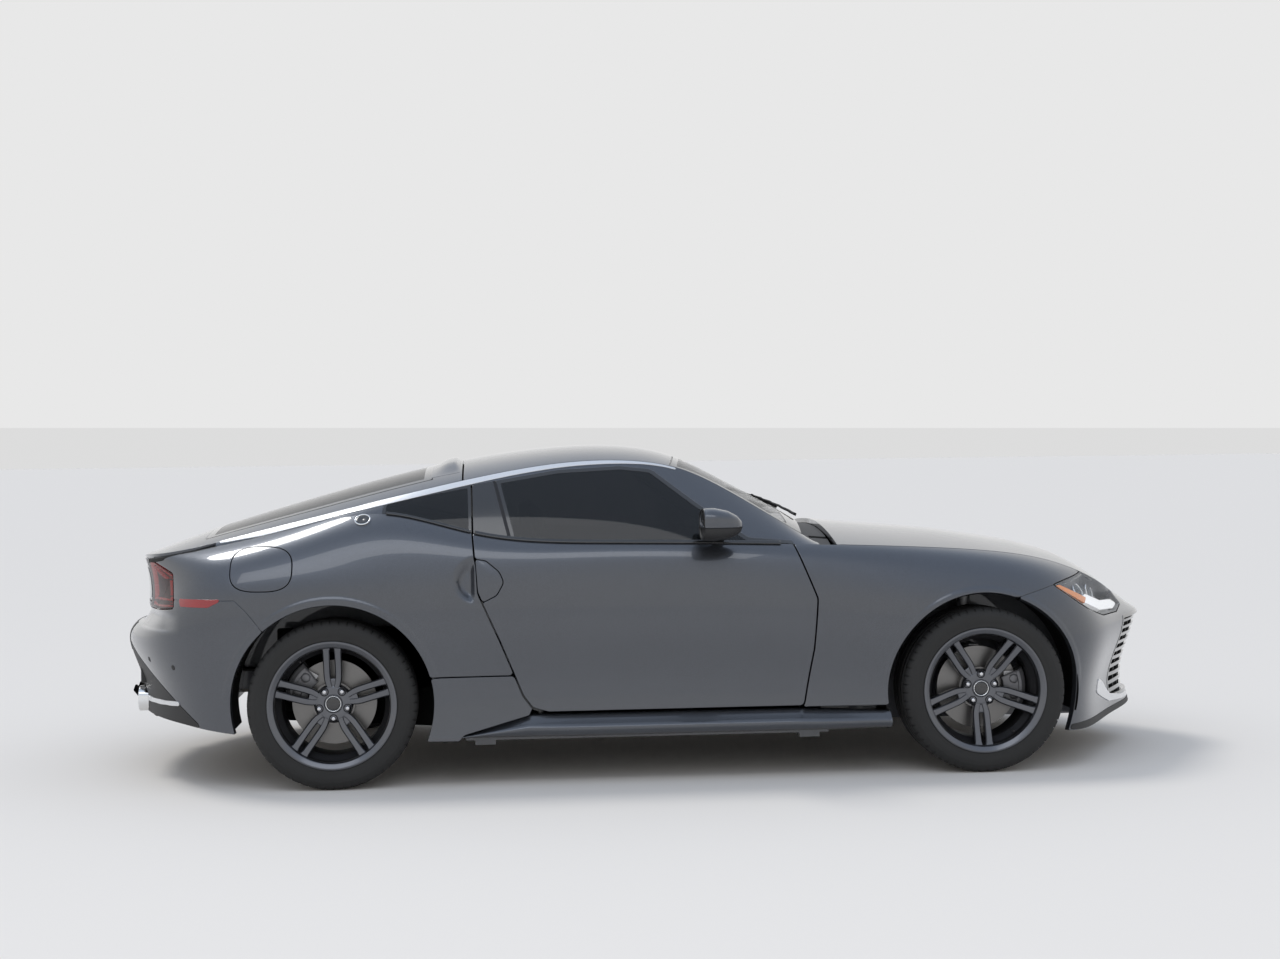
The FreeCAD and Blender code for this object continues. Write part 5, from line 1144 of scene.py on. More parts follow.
disc = turned(rounded([(0.1, 4.2), (22, 3.6), (27, 2.6), (27, 0), (0.1, 0)], 0.8, 2), 64, closed=False)
ringPiece = turned(rounded([(26, -1), (31.5, -1), (31.5, 3.6), (30, 5.2), (27.5, 5.2), (26, 3.6)], 1.2, 3), 64)
for name, s, finish in (("badgeDisc", disc, blackGloss), ("badgeRing", ringPiece, chrome)):
    sided(name, onBody(s, -1166, 1030), finish)
markerField = side.within(rounded([(-1874, 737), (-1702, 738), (-1708, 728), (-1749, 707), (-1866, 707)], 6, 3))
build("sideMarkers", bothSides(panel(side.moved(1.6), markerField, 0, 1.4, 6)), lensRed)
sensor = turned(rounded([(0.1, 1.6), (9, 1.2), (10.5, 0.4), (10.5, -3), (0.1, -3)], 0.4, 2), 32, closed=False)
sensors = [onBody(sensor, *spot) for spot in ((-2017, 489), (-1900, 470), (2030, 470))]
build("parkSensors", bothSides(joined(*sensors)), blackPlastic)

# Headlamps: a clear cover over a dark bowl with two projectors, a bright blade and an amber strip.
noseLamp = least(nosePatch.within(lampRing), nosePatch.fromEdge(1) - 2)
xNose, yNose, zNose = nosePatch.p[..., 0], np.abs(nosePatch.p[..., 1]), nosePatch.p[..., 2]
build("lampCovers", panel(nosePatch, noseLamp, 1, 1.6, 10), lensClear, nodes=["headlights"])
lampBowl = metalFinish("lampBowl", (0.10, 0.10, 0.105), 0.3, grain=120.0, strength=0.04, metal=0.7)
build("lampBowls", bowl(nosePatch, noseLamp - 0.5, 42, 46), lampBowl)
blade = nosePatch.within(rounded([(1690, 668), (1830, 613), (1960, 600), (2012, 612), (1960, 634), (1850, 646),
                                  (1740, 686)], 8, 3))
bladeGlow = glowFinish("bladeGlow", (1.0, 1.0, 1.0), 0.45, (0.85, 0.86, 0.88))
build("lampBlades", panel(nosePatch.moved(-6), least(blade, noseLamp - 5), 0, 1.5, 26), bladeGlow)
amber = nosePatch.within(rounded([(1576, 727), (1600, 734), (1740, 672), (1722, 652), (1650, 690)], 4, 3))
build("lampAmbers", panel(nosePatch.moved(-5), least(amber, noseLamp - 5), 0, 1.5, 22), lensAmber)
eyelid = least(noseLamp - 4, 15 - noseLamp,
               nosePatch.within([(1568, 738), (1712, 764), (1790, 840), (1990, 900), (2010, 690), (1900, 712),
                                 (1760, 740), (1640, 722)]))
build("lampBrows", panel(nosePatch.moved(-4), eyelid, 0, 1, 20), blackGloss)
projector = joined(turned([(0.1, 14), (12, 12.5), (22, 8), (27, 0), (27, -22)], 48, closed=False),
                   turned(rounded([(27, -22), (35, -22), (35, 3), (32, 6), (27, 4)], 1.5, 3), 48))
projectorRing = turned(rounded([(34, -24), (41, -24), (41, 2), (38, 5), (34, 3)], 1.5, 3), 48)
projectorDepth = 34
for name, s, finish in (("projectors", projector, lensClear), ("projectorRings", projectorRing, chrome)):
    pair = [onBody(s, *spot, -projectorDepth) for spot in ((1822, 690), (1738, 706))]
    build(name, bothSides(joined(*pair)), finish)

# Silver chin along the bottom of the nose and the black lip under it.
chinLow = np.interp(yNose, [0, 250, 426, 605, 760], [186, 192, 206, 262, 320])
chinHigh = np.interp(yNose, [0, 250, 400, 520, 605, 640], [205, 212, 236, 300, 326, 322])
chin = least(nosePatch.true(zNose - chinLow), nosePatch.true(chinHigh - zNose), 628 - yNose, xNose - 1600)
build("chinStrip", panel(nosePatch.moved(3.5), chin, 0, 2.2, 12), silver)
lip = least(nosePatch.true(np.interp(xNose, [1500, 1700, 2000], [171, 178, 184]) - zNose),
            nosePatch.beyond(frontAxle, 392), nosePatch.fromEdge(1, False), xNose - 1500)
build("frontLip", panel(nosePatch.moved(3.0), lip, 0, 2, 10), blackPlastic)
mouth = nosePatch.within(mouthRing, "front")
bead = least(nosePatch.within(drawnIn(mouthRing, -11), "front"), 2 - mouth, xNose - 1800)
build("mouthFrame", panel(nosePatch.moved(1.5), bead, 0, 2, 24), blackGloss)
# Grille: level bars and upright ribs that follow the nose, over a dark backing.
inMouth = least(mouth + 4, xNose - 1780)
bars = nosePatch.true(6.5 - np.abs((zNose - 224) % 33 - 16.5))
ribs = nosePatch.true(4.0 - np.abs((yNose + 43) % 86 - 43))
for name, depth, field, radius, flange, finish, nodes in (
        ("grilleBars", 16, least(inMouth, bars), 1.6, 16, blackGloss, ["grille"]),
        ("grilleRibs", 24, least(inMouth, ribs), 1, 12, blackPlastic, ()),
        ("grilleBack", 58, inMouth, 1, 2, blackDeep, ())):
    build(name, panel(nosePatch.moved(-depth), field, 0, radius, flange), finish, nodes=nodes)
print("nose", flush=True)

# Tail lamps: a dark red cover over a black bowl with two nested red lines.
lampPart = least(tailPatch.within(tailRing), atTail(-dropHole), tailPatch.fromEdge(1) - 1)
build("tailCovers", panel(tailPatch, lampPart, 1, 1.6, 10), redDark, nodes=["tail_lights"])
build("tailBowls", bowl(tailPatch, lampPart - 0.5, 26, 24), blackDeep)
for step, level in enumerate((9, 34)):
    line = least(4.2 - np.abs(lampPart - level - 6), 745 - np.abs(tailPatch.p[..., 1]))
    build("tailLine%d" % step, panel(tailPatch.moved(-7), line, 0, 1.4, 12), redGlow)
centre = tailPatch.within(rounded([(-10, 716), (384, 716), (384, 806), (370, 838), (-10, 842)], [0, 8, 12, 18, 0], 4),
                          "front")
build("tailCentre", panel(tailPatch.moved(1.6), atTail(centre), 0, 1.6, 6), blackGloss, "hatch")
lowLip = least(tailPatch.within([(-1882, 334), (-1882, 318), (-2000, 308), (-2118, 296), (-2118, 318), (-2000, 326)]),
               -tailPatch.within([(-10, 0), (402, 0), (402, 900), (-10, 900)], "front"))
build("rearBlade", panel(tailPatch.moved(5), lowLip, 0, 2, 10), silver)

# Fins of the diffuser and the number plate recess, which stays bare.
finOutline = rounded([(-1850, 204), (-1850, 262), (-2040, 268), (-2150, 345), (-2160, 318), (-2070, 208)],
                     [4, 10, 20, 6, 10, 20], 4)
fins = joined(*[outward(placed(slab(finOutline, y - 3.5, y + 3.5, 1.6), sideOn)) for y in (-210, -105, 0, 105, 210)])
build("diffuserFins", fins, blackPlastic)
recess = tailPatch.within(rounded([(-10, 470), (330, 500), (268, 604), (-10, 604)], [0, 30, 22, 0], 5), "front")
build("plateRecess", panel(tailPatch.moved(1.4), atTail(recess), 0, 1.6, 6), blackPlastic)

# Exhaust: pipes along the tunnel, a silencer across the tail and two bright tips.
bend = curveThrough([(600, 0, 352), (300, 0, 350), (-300, 0, 348), (-1100, 0, 345), (-1500, 0, 322), (-1760, 0, 310)])
silencerRing = rounded([(-1960, 235), (-1740, 235), (-1740, 385), (-1960, 385)], 62, 8)
silencer = outward(placed(slab(silencerRing, -380, 380, 26, 5), sideOn))
tipPlaces, tipHeight = (330, -330), 300
tails = [tube([(x, y, tipHeight) for x in (-1930, -2000, -2060)], 34, 20) for y in tipPlaces]
build("exhaustPipes", joined(tube(bend, 38, 20), *tails, silencer), iron, nodes=["exhaust"])
tip = turned(rounded([(40, 0), (44, 0), (50, 50), (52, 96), (50.5, 99), (48.5, 96), (46, 50), (40, 10)], 1.2, 3), 64)
inside = turned([(0.1, 20), (38, 20), (39, 60)], 32, closed=False)
rearwards = np.array([[0, 0, -1], [0, 1, 0], [1, 0, 0.0]])
for name, s, finish, slot in (("exhaustTips", tip, chrome, "metal"), ("exhaustInsides", inside, blackDeep, None)):
    build(name, joined(*[placed(s, rearwards, (-2010, y, tipHeight)) for y in tipPlaces]), finish)
build("tipBowls", bowl(tailPatch, tipHole - 0.5, 62, 40), blackDeep)
print("tail", flush=True)

# Points and normals of a patch nearest to places (x, y) seen from above.
def fromAbove(patch, flat):
    rows = np.abs(patch.p[:, 0, 0][None] - flat[:, :1]).argmin(1)
    cols = np.abs(patch.p[rows, :, 1] - flat[:, 1:]).argmin(1)
    return patch.p[rows, cols], patch.n[rows, cols]


# Wipers on the windscreen: an arm over the first points from the pivot and a blade over all but a few.
armPoints, bladeFrom = 15, 6
for name, pivot, tipAt in (("Right", (600, -330), (398, 330)), ("Left", (604, 210), (420, 640))):
    flat = np.linspace(pivot, tipAt, 24)
    base, normal = fromAbove(top, flat)
    base[:, :2] = flat
    armScale = np.linspace(1.3, 0.7, armPoints)[:, None].repeat(2, 1)
    armOut, bladeOut = normal[:armPoints], normal[bladeFrom:]
    wiperArm = swept(base[:armPoints] + armOut * 15, armOut, barProfile(11, 7, 2.5, 2), scale=armScale)
    wiperBlade = swept(base[bladeFrom:] + bladeOut * 4 + (6, 0, 0), bladeOut, barProfile(8, 10, 2, 2))
    build("wiperArm" + name, outward(wiperArm), blackPlastic)
    build("wiperBlade" + name, outward(wiperBlade), rubberSeal)

# Beam behind the tail skin and the seals beside the hatch.
build("tailBeam", roundBox(-2092, -2044, -410, 410, 372, 596, 14, 6), blackPlastic, nodes=["rear_beam"])
seal = edgeCurve[(edgeCurve[:, 0] < -1735) & (edgeCurve[:, 0] > -2030)][::12] + (0, -9, -8)
sealBar = swept(seal, np.tile([0, -0.2, 1.0], (len(seal), 1)), barProfile(22, 7, 3, 8))
build("deckSeals", bothSides(outward(sealBar)), rubberSeal)

# Cabin materials.
leather = plasticFinish("leatherBlack", (0.022, 0.021, 0.021), 0.5, 420.0, 0.5)
suede = plasticFinish("suedeGrey", (0.055, 0.055, 0.058), 0.9, 700.0, 0.5)
carpet = plasticFinish("carpetBlack", (0.018, 0.018, 0.019), 0.95, 520.0, 0.9)
cloth = plasticFinish("headCloth", (0.13, 0.13, 0.13), 0.95, 800.0, 0.4)
castAlloy = metalFinish("castAlloy", (0.46, 0.46, 0.47), 0.5, grain=260.0, strength=0.3, metal=0.9)
screenGlass = plasticFinish("screenGlass", (0.008, 0.009, 0.011), 0.12, 100.0, 0.01, 1.0)

# Seats: sections carried across the seat, hollow in the middle with raised bolsters at the sides.
seatLine = rounded([(172, 305), (172, 405), (130, 442), (-200, 466), (-262, 500), (-335, 640), (-440, 930),
                    (-462, 1040), (-492, 1072), (-540, 1058), (-543, 985), (-468, 480), (-415, 305)],
                   [16, 40, 30, 60, 60, 80, 60, 30, 26, 26, 40, 60, 20], 7)
seatLine = evenly(seatLine, 150)


def seatShell(y0, halfWidth=225, run=26):
    bend = run * (1 - np.cos(np.linspace(0, np.pi / 2, 7)))
    across = np.concatenate([bend - halfWidth, np.linspace(-190, 190, 34), halfWidth - bend[::-1]])
    normalIn = drawnIn(seatLine, 1.0) - seatLine
    rings = []
    for y in across:
        edge = min(1.0, (halfWidth - abs(y)) / run)
        inset = 24 * (1 - math.sqrt(max(0.0, 1 - (1 - edge) ** 2)))
        bolster = float(ease(abs(y), 96, 165)) * (1 - 0.5 * float(ease(abs(y), 178, 222)))
        ring = drawnIn(seatLine, inset)
        x, z = ring[:, 0], ring[:, 1]
        front = ease(x * 0.92 + z * 0.38, -70, 10) * (z > 330)
        hollow = 30 * (1 - bolster) * front * (1 - ease(z, 880, 960))
        channel = 3.5 * np.abs(np.sin((x - z) * 0.055)) ** 6 * front * (abs(y) < 120) * (1 - ease(z, 860, 930))
        ring = ring + normalIn * (hollow + channel)[:, None]
        waist = 1 - 0.10 * ease(z, 560, 640) - 0.36 * ease(z, 905, 975)
        rings.append(np.stack([ring[:, 0], y0 + y * waist, ring[:, 1]], 1))
    return lofted(rings)


seatPlaces = (("Left", 385), ("Right", -385))
for name, y0 in seatPlaces:
    seat = build("seat" + name, seatShell(y0), leather, nodes=["seats"])
rails = [roundBox(-360, 140, y0 + s - 14, y0 + s + 14, 181, 306, 6, 3)
         for name, y0 in seatPlaces for s in (-160, 160)]
build("seatRails", joined(*rails), alloyDarkAndShade)
seatBase = rounded([(-420, 300), (170, 300), (160, 345), (-410, 345)], 16, 4)
bases = [outward(placed(slab(seatBase, y0 - 214, y0 + 214, 8), sideOn)) for name, y0 in seatPlaces]
build("seatBases", joined(*bases), blackPlastic)


# A side outline carried across the car at a place.
def across(line, y):
    return np.column_stack([line[:, 0], np.full(len(line), y), line[:, 1]])


# A padded form across the car: its side outline is drawn in by a quarter sine over a run to each end.
def padRoll(line, half, depth, run, bend, flat, count):
    outer = np.linspace(bend, half, 6)
    places = np.concatenate([-outer[::-1], np.linspace(-flat, flat, count), outer])
    inset = [depth * (1 - math.sin(min(1, (half - abs(y)) / run) * math.pi / 2)) for y in places]
    return lofted([across(drawnIn(line, d), y) for d, y in zip(inset, places)])


# Dashboard: a padded roll across the car with a hooded cluster and a blank screen.
dashLine = rounded([(652, 565), (652, 845), (520, 862), (440, 852), (392, 800), (386, 722), (462, 606), (502, 562)],
                   [6, 14, 30, 34, 40, 30, 30, 10], 6)
build("dashboard", padRoll(dashLine, 640, 14, 22, 618, 600, 40), leather, nodes=["dashboard"])
hoodLine = rounded([(650, 846), (650, 876), (470, 886), (404, 862), (398, 846)], [4, 8, 30, 20, 4], 5)
binnacle = [across((hoodLine - (520, 846)) * (1, max(0.05, math.cos(y / 170 * math.pi / 2) ** 0.5)) + (520, 846),
                   370 + y) for y in np.linspace(-169, 169, 30)]
build("binnacle", lofted(binnacle), leather)
faceOn = np.array([[0, 0, -1], [0, -1, 0], [-1, 0, 0.0]])
ventRing = turned(rounded([(28, -6), (34, -6), (35, 6), (31, 9), (28, 4)], 1.2, 3), 40)
screen = slab(rounded([(-118, 706), (118, 706), (118, 806), (-118, 806)], 12, 5), -8, 4, 3)
cluster = slab(rounded([(240, 796), (500, 796), (490, 842), (250, 842)], 14, 5), -6, 6, 2)
for name, s, place in (("centreScreen", screen, 388), ("cluster", cluster, 392)):
    build(name, outward(placed(s, frontOn, (place, 0, 0))), screenGlass)
ventPlaces = (-560, -190, 190, 560)
build("vents", joined(*[placed(ventRing, faceOn, (392, y, 770)) for y in ventPlaces]), chrome)
slats = [roundBox(380, 398, y - 26, y + 26, z - 2, z + 2, 1.5, 1) for y in ventPlaces for z in (758, 770, 782)]
build("ventSlats", joined(*slats), blackPlastic)
knob = turned(rounded([(0.1, 16), (17, 15), (19, 10), (20, -4), (0.1, -4)], 1.5, 3), 32, closed=False)
build("knobs", joined(*[placed(knob, faceOn, (396, y, 662)) for y in (-80, 0, 80)]), steelNut)

# Steering wheel on its column: a stitched rim, a bare hub cover and three spokes.
axis = np.array([-0.9439, 0, 0.3304])
wheelCentre = np.array([400, 370, 745]) + axis * 105
sideways = np.array([0, 1.0, 0])
toWheel = np.stack([np.cross(sideways, axis), sideways, axis], 1)
rimRadius = 182
t = np.linspace(0, 2 * np.pi, 120, endpoint=False)
rimOut = np.stack([np.cos(t), np.sin(t), 0 * t], 1)
rimPath = rimOut * rimRadius
swell = 1 + 0.10 * (np.abs(np.sin(t)) > 0.92)
wheelRim = swept(rimPath, rimOut, ellipse(15.5, 14, 20), closed=True, scale=np.stack([swell, swell], 1))
stitch = swept(rimPath * (1 - 14.5 / rimRadius), -rimOut, ellipse(1.6, 1.2, 8), closed=True)
hubRing = rounded([(-70, -46), (-58, 40), (58, 40), (70, -46), (0, -62)], [26, 20, 20, 26, 30], 6)
hub = slab(hubRing[:, ::-1] * (-1, 1), -16, 12, 9, 4)
spoke = slab(rounded([(50, -17), (176, -13), (176, 13), (50, 17)], 4, 3), -9, 3, 3)
spokes = joined(*[placed(spoke, turnAbout("Z", math.radians(a))) for a in (88, -88, 180)])
boss = turned(rounded([(0.1, -14), (44, -14), (48, -40), (40, -60), (0.1, -60)], 3, 3), 40, closed=False)
for name, s, finish, slot, nodes in (("wheelRim", outward(wheelRim), leather, "cabin", ["steering_wheel"]),
                                     ("wheelStitch", outward(stitch), suede, None, ()),
                                     ("wheelHub", hub, leather, None, ()), ("wheelSpokes", spokes, silver, None, ()),
                                     ("wheelBoss", boss, blackPlastic, None, ())):
    build(name, placed(s, toWheel, wheelCentre), finish, "steering_wheel", nodes)
shroud = [np.stack([wheelCentre + axis * d + sideways * a * s + np.cross(sideways, axis) * b * s
                    for a, b in ellipse(62, 52, 40)]) for d, s in ((-62, 0.7), (-66, 0.95), (-110, 1.0), (-150, 0.9))]
build("columnShroud", lofted(shroud), blackPlastic)
stalks = [tube(wheelCentre - axis * 84 + np.array([[0, s * 40, 0], [0, s * 90, 4], [-6, s * 140, 8]]), 7)
          for s in (-1, 1)]
build("stalks", joined(*stalks), blackPlastic)

# Centre console with the gear lever, hand brake and cup rings.
consoleLine = rounded([(468, 400), (468, 552), (330, 556), (120, 528), (-60, 522), (-200, 556), (-326, 556),
                       (-328, 400)], [4, 14, 60, 60, 40, 40, 20, 4], 6)
build("console", padRoll(consoleLine, 125, 18, 20, 106, 95, 8), leather, nodes=["centre_console"])
boot = turned([(62, 522), (46, 536), (38, 550), (24, 566), (14, 580), (8, 592)], 40, closed=False)
lever = turned([(6, 580), (6, 618), (18, 626), (24, 640), (22, 656), (12, 664), (0.1, 666)], 32, closed=False)
for name, s, finish in (("gearBoot", boot, suede), ("gearLever", lever, steelNut)):
    build(name, placed(s, move=(120, 0, 0)), finish)
cups = turned(rounded([(36, 520), (42, 520), (42, 536), (39, 538), (36, 534)], 1.2, 3), 40)
build("cupRings", joined(*[placed(cups, move=(x, 0, 0)) for x in (-20, -112)]), steelNut)
build("handBrake", tube([(10, -84, 528), (-60, -84, 552), (-150, -84, 584)], 11, 14), leather)

# Door cards with an arm rest, a pull and a speaker ring; the inner face of the door is where they stand.
doorInside = onSide([0.0], [680.0])[0][0, 1] - 96
armLine = rounded([(330, 640), (330, 676), (-260, 700), (-330, 716), (-330, 664), (-250, 650)],
                  [10, 16, 30, 16, 16, 20], 5)
armRest = placed(slab(armLine, doorInside - 52, doorInside + 8, 14, 4), sideOn)
pullLine = [(x, doorInside - d, z) for x, d, z in ((250, 2, 740), (235, 34, 742), (120, 40, 744), (-20, 40, 748),
                                                   (-45, 34, 750), (-60, 2, 752))]
pull = tube(curveThrough(pullLine, 6), 9, 14)
speaker = turned(rounded([(70, -2), (78, -2), (78, 4), (74, 7), (70, 3)], 1.2, 3), 48)
speakerMesh = turned([(0.1, 3.5), (40, 3), (70, 0.5)], 48, closed=False)
intoCabin, speakerAt = np.array([[1, 0, 0], [0, 0, -1], [0, 1, 0.0]]), (330, doorInside + 4, 440)
sided("doorCard", lining(side, least(doorField, upperEdge), 90, 6, 10, 6), leather, onDoor=True)
sided("armRest", outward(armRest), suede, onDoor=True)
sided("doorPull", pull, silver, onDoor=True)
sided("speakerRing", placed(speaker, intoCabin, speakerAt), steelNut, onDoor=True)
sided("speakerMesh", placed(speakerMesh, intoCabin, speakerAt), blackPlastic, onDoor=True)

# Linings: roof, hatch, boot sides, hood and the door frames.
build("headLining", lining(top, least(roofField, roofEdgeField - 6), 26, 2, 6, 6), cloth)
build("hatchLining", lining(top, least(hatchOuter - 12, -glassHole - 6), 24, 2, 5, 5), blackPlastic, "hatch")
build("hatchFrit", panel(top.moved(0.8), least(glassHole - 2, 34 - glassHole), 0, 0.5, 2), blackGloss, "hatch")
screenFrit = least(screenField - 2, np.maximum(26 - screenField, top.true(xTop - 520)))
build("screenFrit", panel(top.moved(0.8), screenFrit, 0, 0.5, 2), blackGloss)
frameBand = least(30 - doorField, doorField + 6, upperEdge + 2, side.true(410 - side.p[..., 0]))
build("doorFrames", bothSides(panel(side.moved(-98), frameBand, 0, 1, 4)), paintInner)
sideLining = least(side.within([(-760, 430), (-760, 1000), (-1900, 900), (-1900, 430)]), archRear - 8, upperEdge - 8)
build("bootSides", bothSides(lining(side, sideLining, 60, 0, 6, 8)), carpet)
# Thin plate that closes the opening below the cowl.
plenumHalf = [(640, 886), (640, 892), (560, 905), (400, 925), (300, 932), (150, 942)]
plenumRing = plenumHalf + [(0, 947)] + [(-y, z) for y, z in plenumHalf[::-1]]
build("plenum", outward(placed(slab(rounded(plenumRing, 2, 2), -3.5, 3.5, 1), frontOn, (660, 0, 0))), blackPlastic)
build("hoodLining", lining(hoodBase, least(hoodPlan - 24, 90), 20, 2, 5, 4), blackPlastic, "hood")
hoodRibs = []
for a, b in (((800, 0), (1850, 0)), ((820, -420), (1700, -150)), ((820, 420), (1700, 150)),
             ((900, -480), (900, 480))):
    p, n = fromAbove(hoodBase, np.linspace(a, b, 30))
    hoodRibs.append(outward(swept(p - n * 22, -n, barProfile(70, 14, 9, 2))))
build("hoodRibs", joined(*hoodRibs), paintInner, "hood")
bulkRing = rounded([(-700, 410), (700, 410), (690, 690), (600, 716), (-600, 716), (-690, 690)], 20, 4)
build("rearBulk", placed(slab(bulkRing, -8, 8, 4), frontOn, (-700, 0, 0)), carpet)
matRing = rounded([(-160, -190), (330, -190), (420, -150), (420, 150), (330, 190), (-160, 190)], 30, 4)
mat = slab(matRing, 181, 190, 3)
build("floorMats", joined(*[placed(mat, move=(0, y, 0)) for y in (400, -400)]), carpet)
bootMat = slab(rounded([(-800, -520), (-1700, -520), (-1940, -430), (-1940, 430), (-1700, 520), (-800, 520)], 40, 4),
               421, 432, 4)
build("bootMat", bootMat, carpet)
brace = curveThrough([(-900, -640, 640), (-930, -500, 700), (-940, 0, 716), (-930, 500, 700), (-900, 640, 640)])
build("brace", tube(brace, 22, 18), paintInner)
pedals = [roundBox(470, 482, y - w, y + w, 300, 380, 6, 3) for y, w in ((270, 24), (350, 36), (430, 30))]
build("pedals", joined(*pedals), steelNut)
print("cabin", flush=True)

# Engine: cover plates, castings, pulleys, inlet pipes, tanks, radiator and hoses.
coverRing = rounded([(830, -196), (1450, -176), (1450, 176), (830, 196)], 46, 6)
build("engineCover", slab(coverRing, 700, 756, 20, 5), blackPlastic, nodes=["engine_block"])
coverRibs = [roundBox(880, 1400, y - 12, y + 12, 750, 764, 6, 4) for y in (-110, -66, 66, 110)]
heads = [slab(rounded([(850, y - 80), (1440, y - 80), (1440, y + 80), (850, y + 80)], 20, 4), 560, 700, 16, 4)
         for y in (-120, 120)]
crankcase = slab(rounded([(830, -170), (1460, -170), (1460, 170), (830, 170)], 30, 4), 330, 580, 12, 4)
sump = slab(rounded([(860, -130), (1400, -130), (1400, 130), (860, 130)], 40, 4), 264, 340, 24, 4)


# Pulley: two flanges with a groove between them, turned about the shaft.
def pulley(r):
    return turned(rounded([(0.1, 14), (12, 14), (12, 6), (r - 6, 6), (r, 12), (r, -12), (0.1, -12)], 1.5, 3), 48,
                  closed=False)


pulleys = [placed(pulley(r), frontOn, (1474, y, z))
           for y, z, r in ((0, 400, 76), (-110, 520, 52), (120, 540, 46), (0, 600, 60))]
inlets = [tube(curveThrough([(1380, s * 190, 700), (1480, s * 230, 690), (1560, s * 300, 670), (1640, s * 330, 650)]),
               38, 20) for s in (-1, 1)]
airBoxes = [roundBox(1560, 1780, y - 95, y + 95, 560, 700, 24, 14) for y in (-330, 330)]
tanks = [roundBox(740, 900, 250, 420, 640, 800, 24, 12), roundBox(740, 940, -430, -260, 600, 780, 20, 10)]
filler = turned(rounded([(0.1, 24), (22, 23), (26, 18), (27, 0), (0.1, 0)], 2, 3), 32, closed=False)
fillers = [placed(filler, move=p) for p in ((820, 335, 798), (840, -345, 778), (1100, -60, 756), (1300, 330, 700))]
radiator = [roundBox(1800, 1844, -430, 430, 300, 690, 8, 6), roundBox(1780, 1860, -440, 440, 690, 716, 10, 6)]
hoses = [tube(curveThrough(path), 20, 16) for path in
         ([(1460, 60, 640), (1540, 110, 660), (1660, 160, 664), (1800, 180, 660)],
          [(1460, -80, 380), (1560, -140, 360), (1700, -180, 350), (1800, -200, 350)])]
tankWhite = plasticFinish("tankWhite", (0.62, 0.61, 0.56), 0.5, 300.0, 0.1)
for name, shells, finish in (("coverRibs", coverRibs, alloyDarkAndShade),
                             ("engineCasting", heads + [crankcase, sump], castAlloy),
                             ("pulleys", pulleys, steelNut), ("inletPipes", inlets, blackPlastic),
                             ("airBoxes", airBoxes, blackPlastic), ("tanks", tanks, tankWhite),
                             ("fillerCaps", fillers, blackPlastic), ("radiator", radiator, blackPlastic),
                             ("hoses", hoses, rubberSeal)):
    build(name, joined(*shells), finish)
print("engine bay", flush=True)


# Wheel arch liners: both faces of a strip round the axle, open at the foot.
def arch(name, x, radius, y0, y1):
    a = np.radians(np.linspace(-14, 194, 80))
    y = np.linspace(y0, y1, 20)[:, None] + 0 * a
    p = np.stack([np.broadcast_to(x + radius * np.cos(a), y.shape), y,
                  np.broadcast_to(axleHeight + radius * np.sin(a), y.shape)], -1)
    outer = gridShell(p)
    inner = shell(outer["points"], [f[:, ::-1] for f in outer["faces"]])
    build(name, bothSides(joined(outer, inner)), blackDeep)


arch("frontLiners", frontAxle, 392, 640, 838)
arch("rearLiners", rearAxle, 391, 606, 838)
innerWall = slab(rounded([(-1520, 236), (-884, 196), (-884, 600), (-1520, 600)], 12, 4), 598, 604, 1)
build("rearInnerWalls", bothSides(outward(placed(innerWall, sideOn))), blackDeep)

# Finishes for the nodes that stay as they were made.
for words, finish in (("floor_pan boot_floor bulkhead engine_bay rear_wheelhouses", paintInner),
                      ("front_beam cowl_panel", blackPlastic),
                      ("front_suspension rear_suspension front_knuckle_left front_knuckle_right", castAlloy),
                      ("brake_disc_front_left brake_disc_front_right", iron),
                      ("brake_disc_rear_left brake_disc_rear_right", iron)):
    for word in words.split():
        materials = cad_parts[word].data.materials
        materials.clear()
        materials.append(finish)
print("nodes finished", flush=True)

# Camera: where it stands, and how it is turned about the vertical, upwards and about its own axis.
camera = bpy.data.objects.new("camera", bpy.data.cameras.new("camera"))
bpy.context.scene.collection.objects.link(camera)
camera.data.sensor_width, camera.data.lens = 36, 50.84
eye, yaw, pitch, roll = (-0.666, -7.868, 1.266), 0.0823, -0.013, -0.0124
forward = np.array([math.sin(yaw) * math.cos(pitch), math.cos(yaw) * math.cos(pitch), math.sin(pitch)])
right = np.array([math.cos(yaw), -math.sin(yaw), 0])
upward = np.cross(right, forward)
columns = np.eye(4)
columns[:3, 0] = right * math.cos(roll) + upward * math.sin(roll)
columns[:3, 1] = upward * math.cos(roll) - right * math.sin(roll)
columns[:3, 2], columns[:3, 3] = -forward, eye
camera.matrix_world = Matrix(columns.tolist())
bpy.context.scene.camera = camera

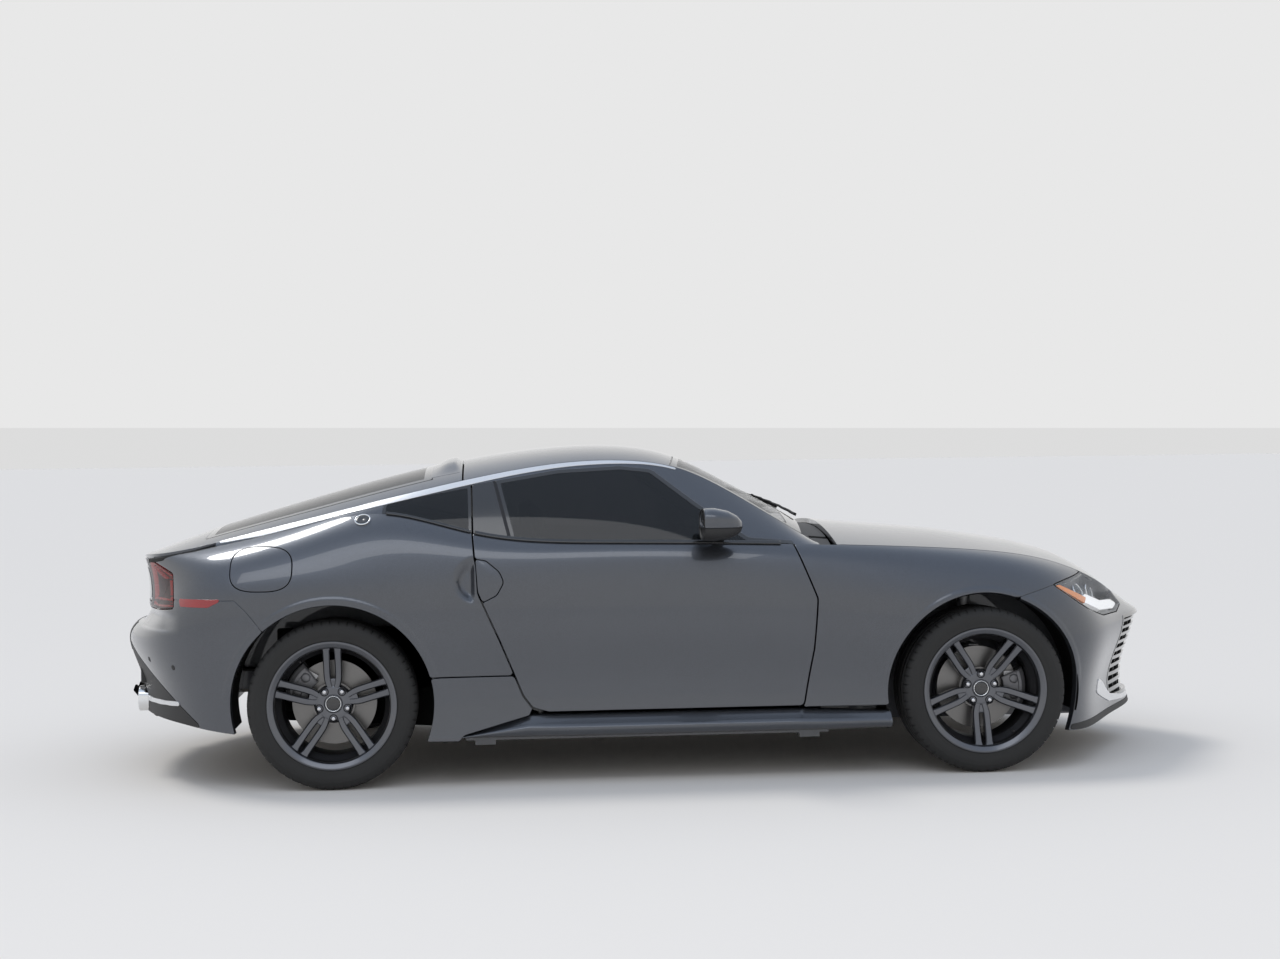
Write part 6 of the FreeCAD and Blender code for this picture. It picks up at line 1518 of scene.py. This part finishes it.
# Pale floor that keeps the shadow.
floorFinish = Finish("floorPale", Base_Color=(0.782, 0.752, 0.716), Roughness=0.95, Specular_IOR_Level=0.0)
mesh, floorReach = bpy.data.meshes.new("floor"), 400
mesh.from_pydata([(floorReach * a, floorReach * b, 0) for a, b in ((-1, -1), (1, -1), (1, 1), (-1, 1))], [],
                 [(0, 1, 2, 3)])
mesh.materials.append(floorFinish.material)
floor = bpy.data.objects.new("floor", mesh)
bpy.context.scene.collection.objects.link(floor)

# Even pale sky: the floor's grey up to a level line just above the horizon, a paler grey over it and
# a faint blue overhead. The line is a plane through two directions of the view.
skyLine = 0.0285
edges = [columns[:3, :3] @ np.array([across, skyLine, -1.0]) for across in (-0.4, 0.4)]
overLine = unit(np.cross(edges[1], edges[0]))
overLine = overLine * np.sign(overLine[2])
world = bpy.data.worlds.new("sky")
bpy.context.scene.world = world
world.use_nodes = True
sky = world.node_tree
apart = sky.nodes.new("ShaderNodeSeparateXYZ")
sky.links.new(sky.nodes.new("ShaderNodeTexCoord").outputs["Generated"], apart.inputs[0])
x, y, z = [Wire(sky, apart.outputs[k]) for k in range(3)]
level = x * float(overLine[0]) + y * float(overLine[1]) + z * float(overLine[2])
above = mixed(sky, z.ramp(0.25, 0.95), (0.807, 0.807, 0.807), (0.56, 0.65, 0.80))
whole = mixed(sky, level.ramp(-0.0003, 0.0003), (0.72, 0.72, 0.72), above)
feed(sky, sky.nodes["Background"].inputs["Color"], whole)
sky.nodes["Background"].inputs["Strength"].default_value = 1.0


# A light at a place, aimed at a point.
def lamp(name, kind, energy, place, aim, **settings):
    data = bpy.data.lights.new(name, kind)
    data.energy = energy
    for key, value in settings.items():
        setattr(data, key, value)
    thing = bpy.data.objects.new(name, data)
    bpy.context.scene.collection.objects.link(thing)
    back = unit(np.array(place, float) - np.array(aim, float))
    side0 = unit(np.cross((0, 0, 1.0), back))
    turn = np.eye(4)
    turn[:3, 0], turn[:3, 1], turn[:3, 2], turn[:3, 3] = side0, np.cross(back, side0), back, place
    thing.matrix_world = Matrix(turn.tolist())


lamp("sun", "SUN", 1.0, (-3.5, 3.2, 8), (0, 0, 0.3), angle=0.30, color=(1.0, 0.97, 0.92))
lamp("softbox", "AREA", 50, (-1.5, -4.5, 6.0), (-0.4, 0, 0.6), shape="RECTANGLE", size=7.0, size_y=1.6)
print("stage set", flush=True)

bpy.context.scene.view_settings.view_transform = "Standard"
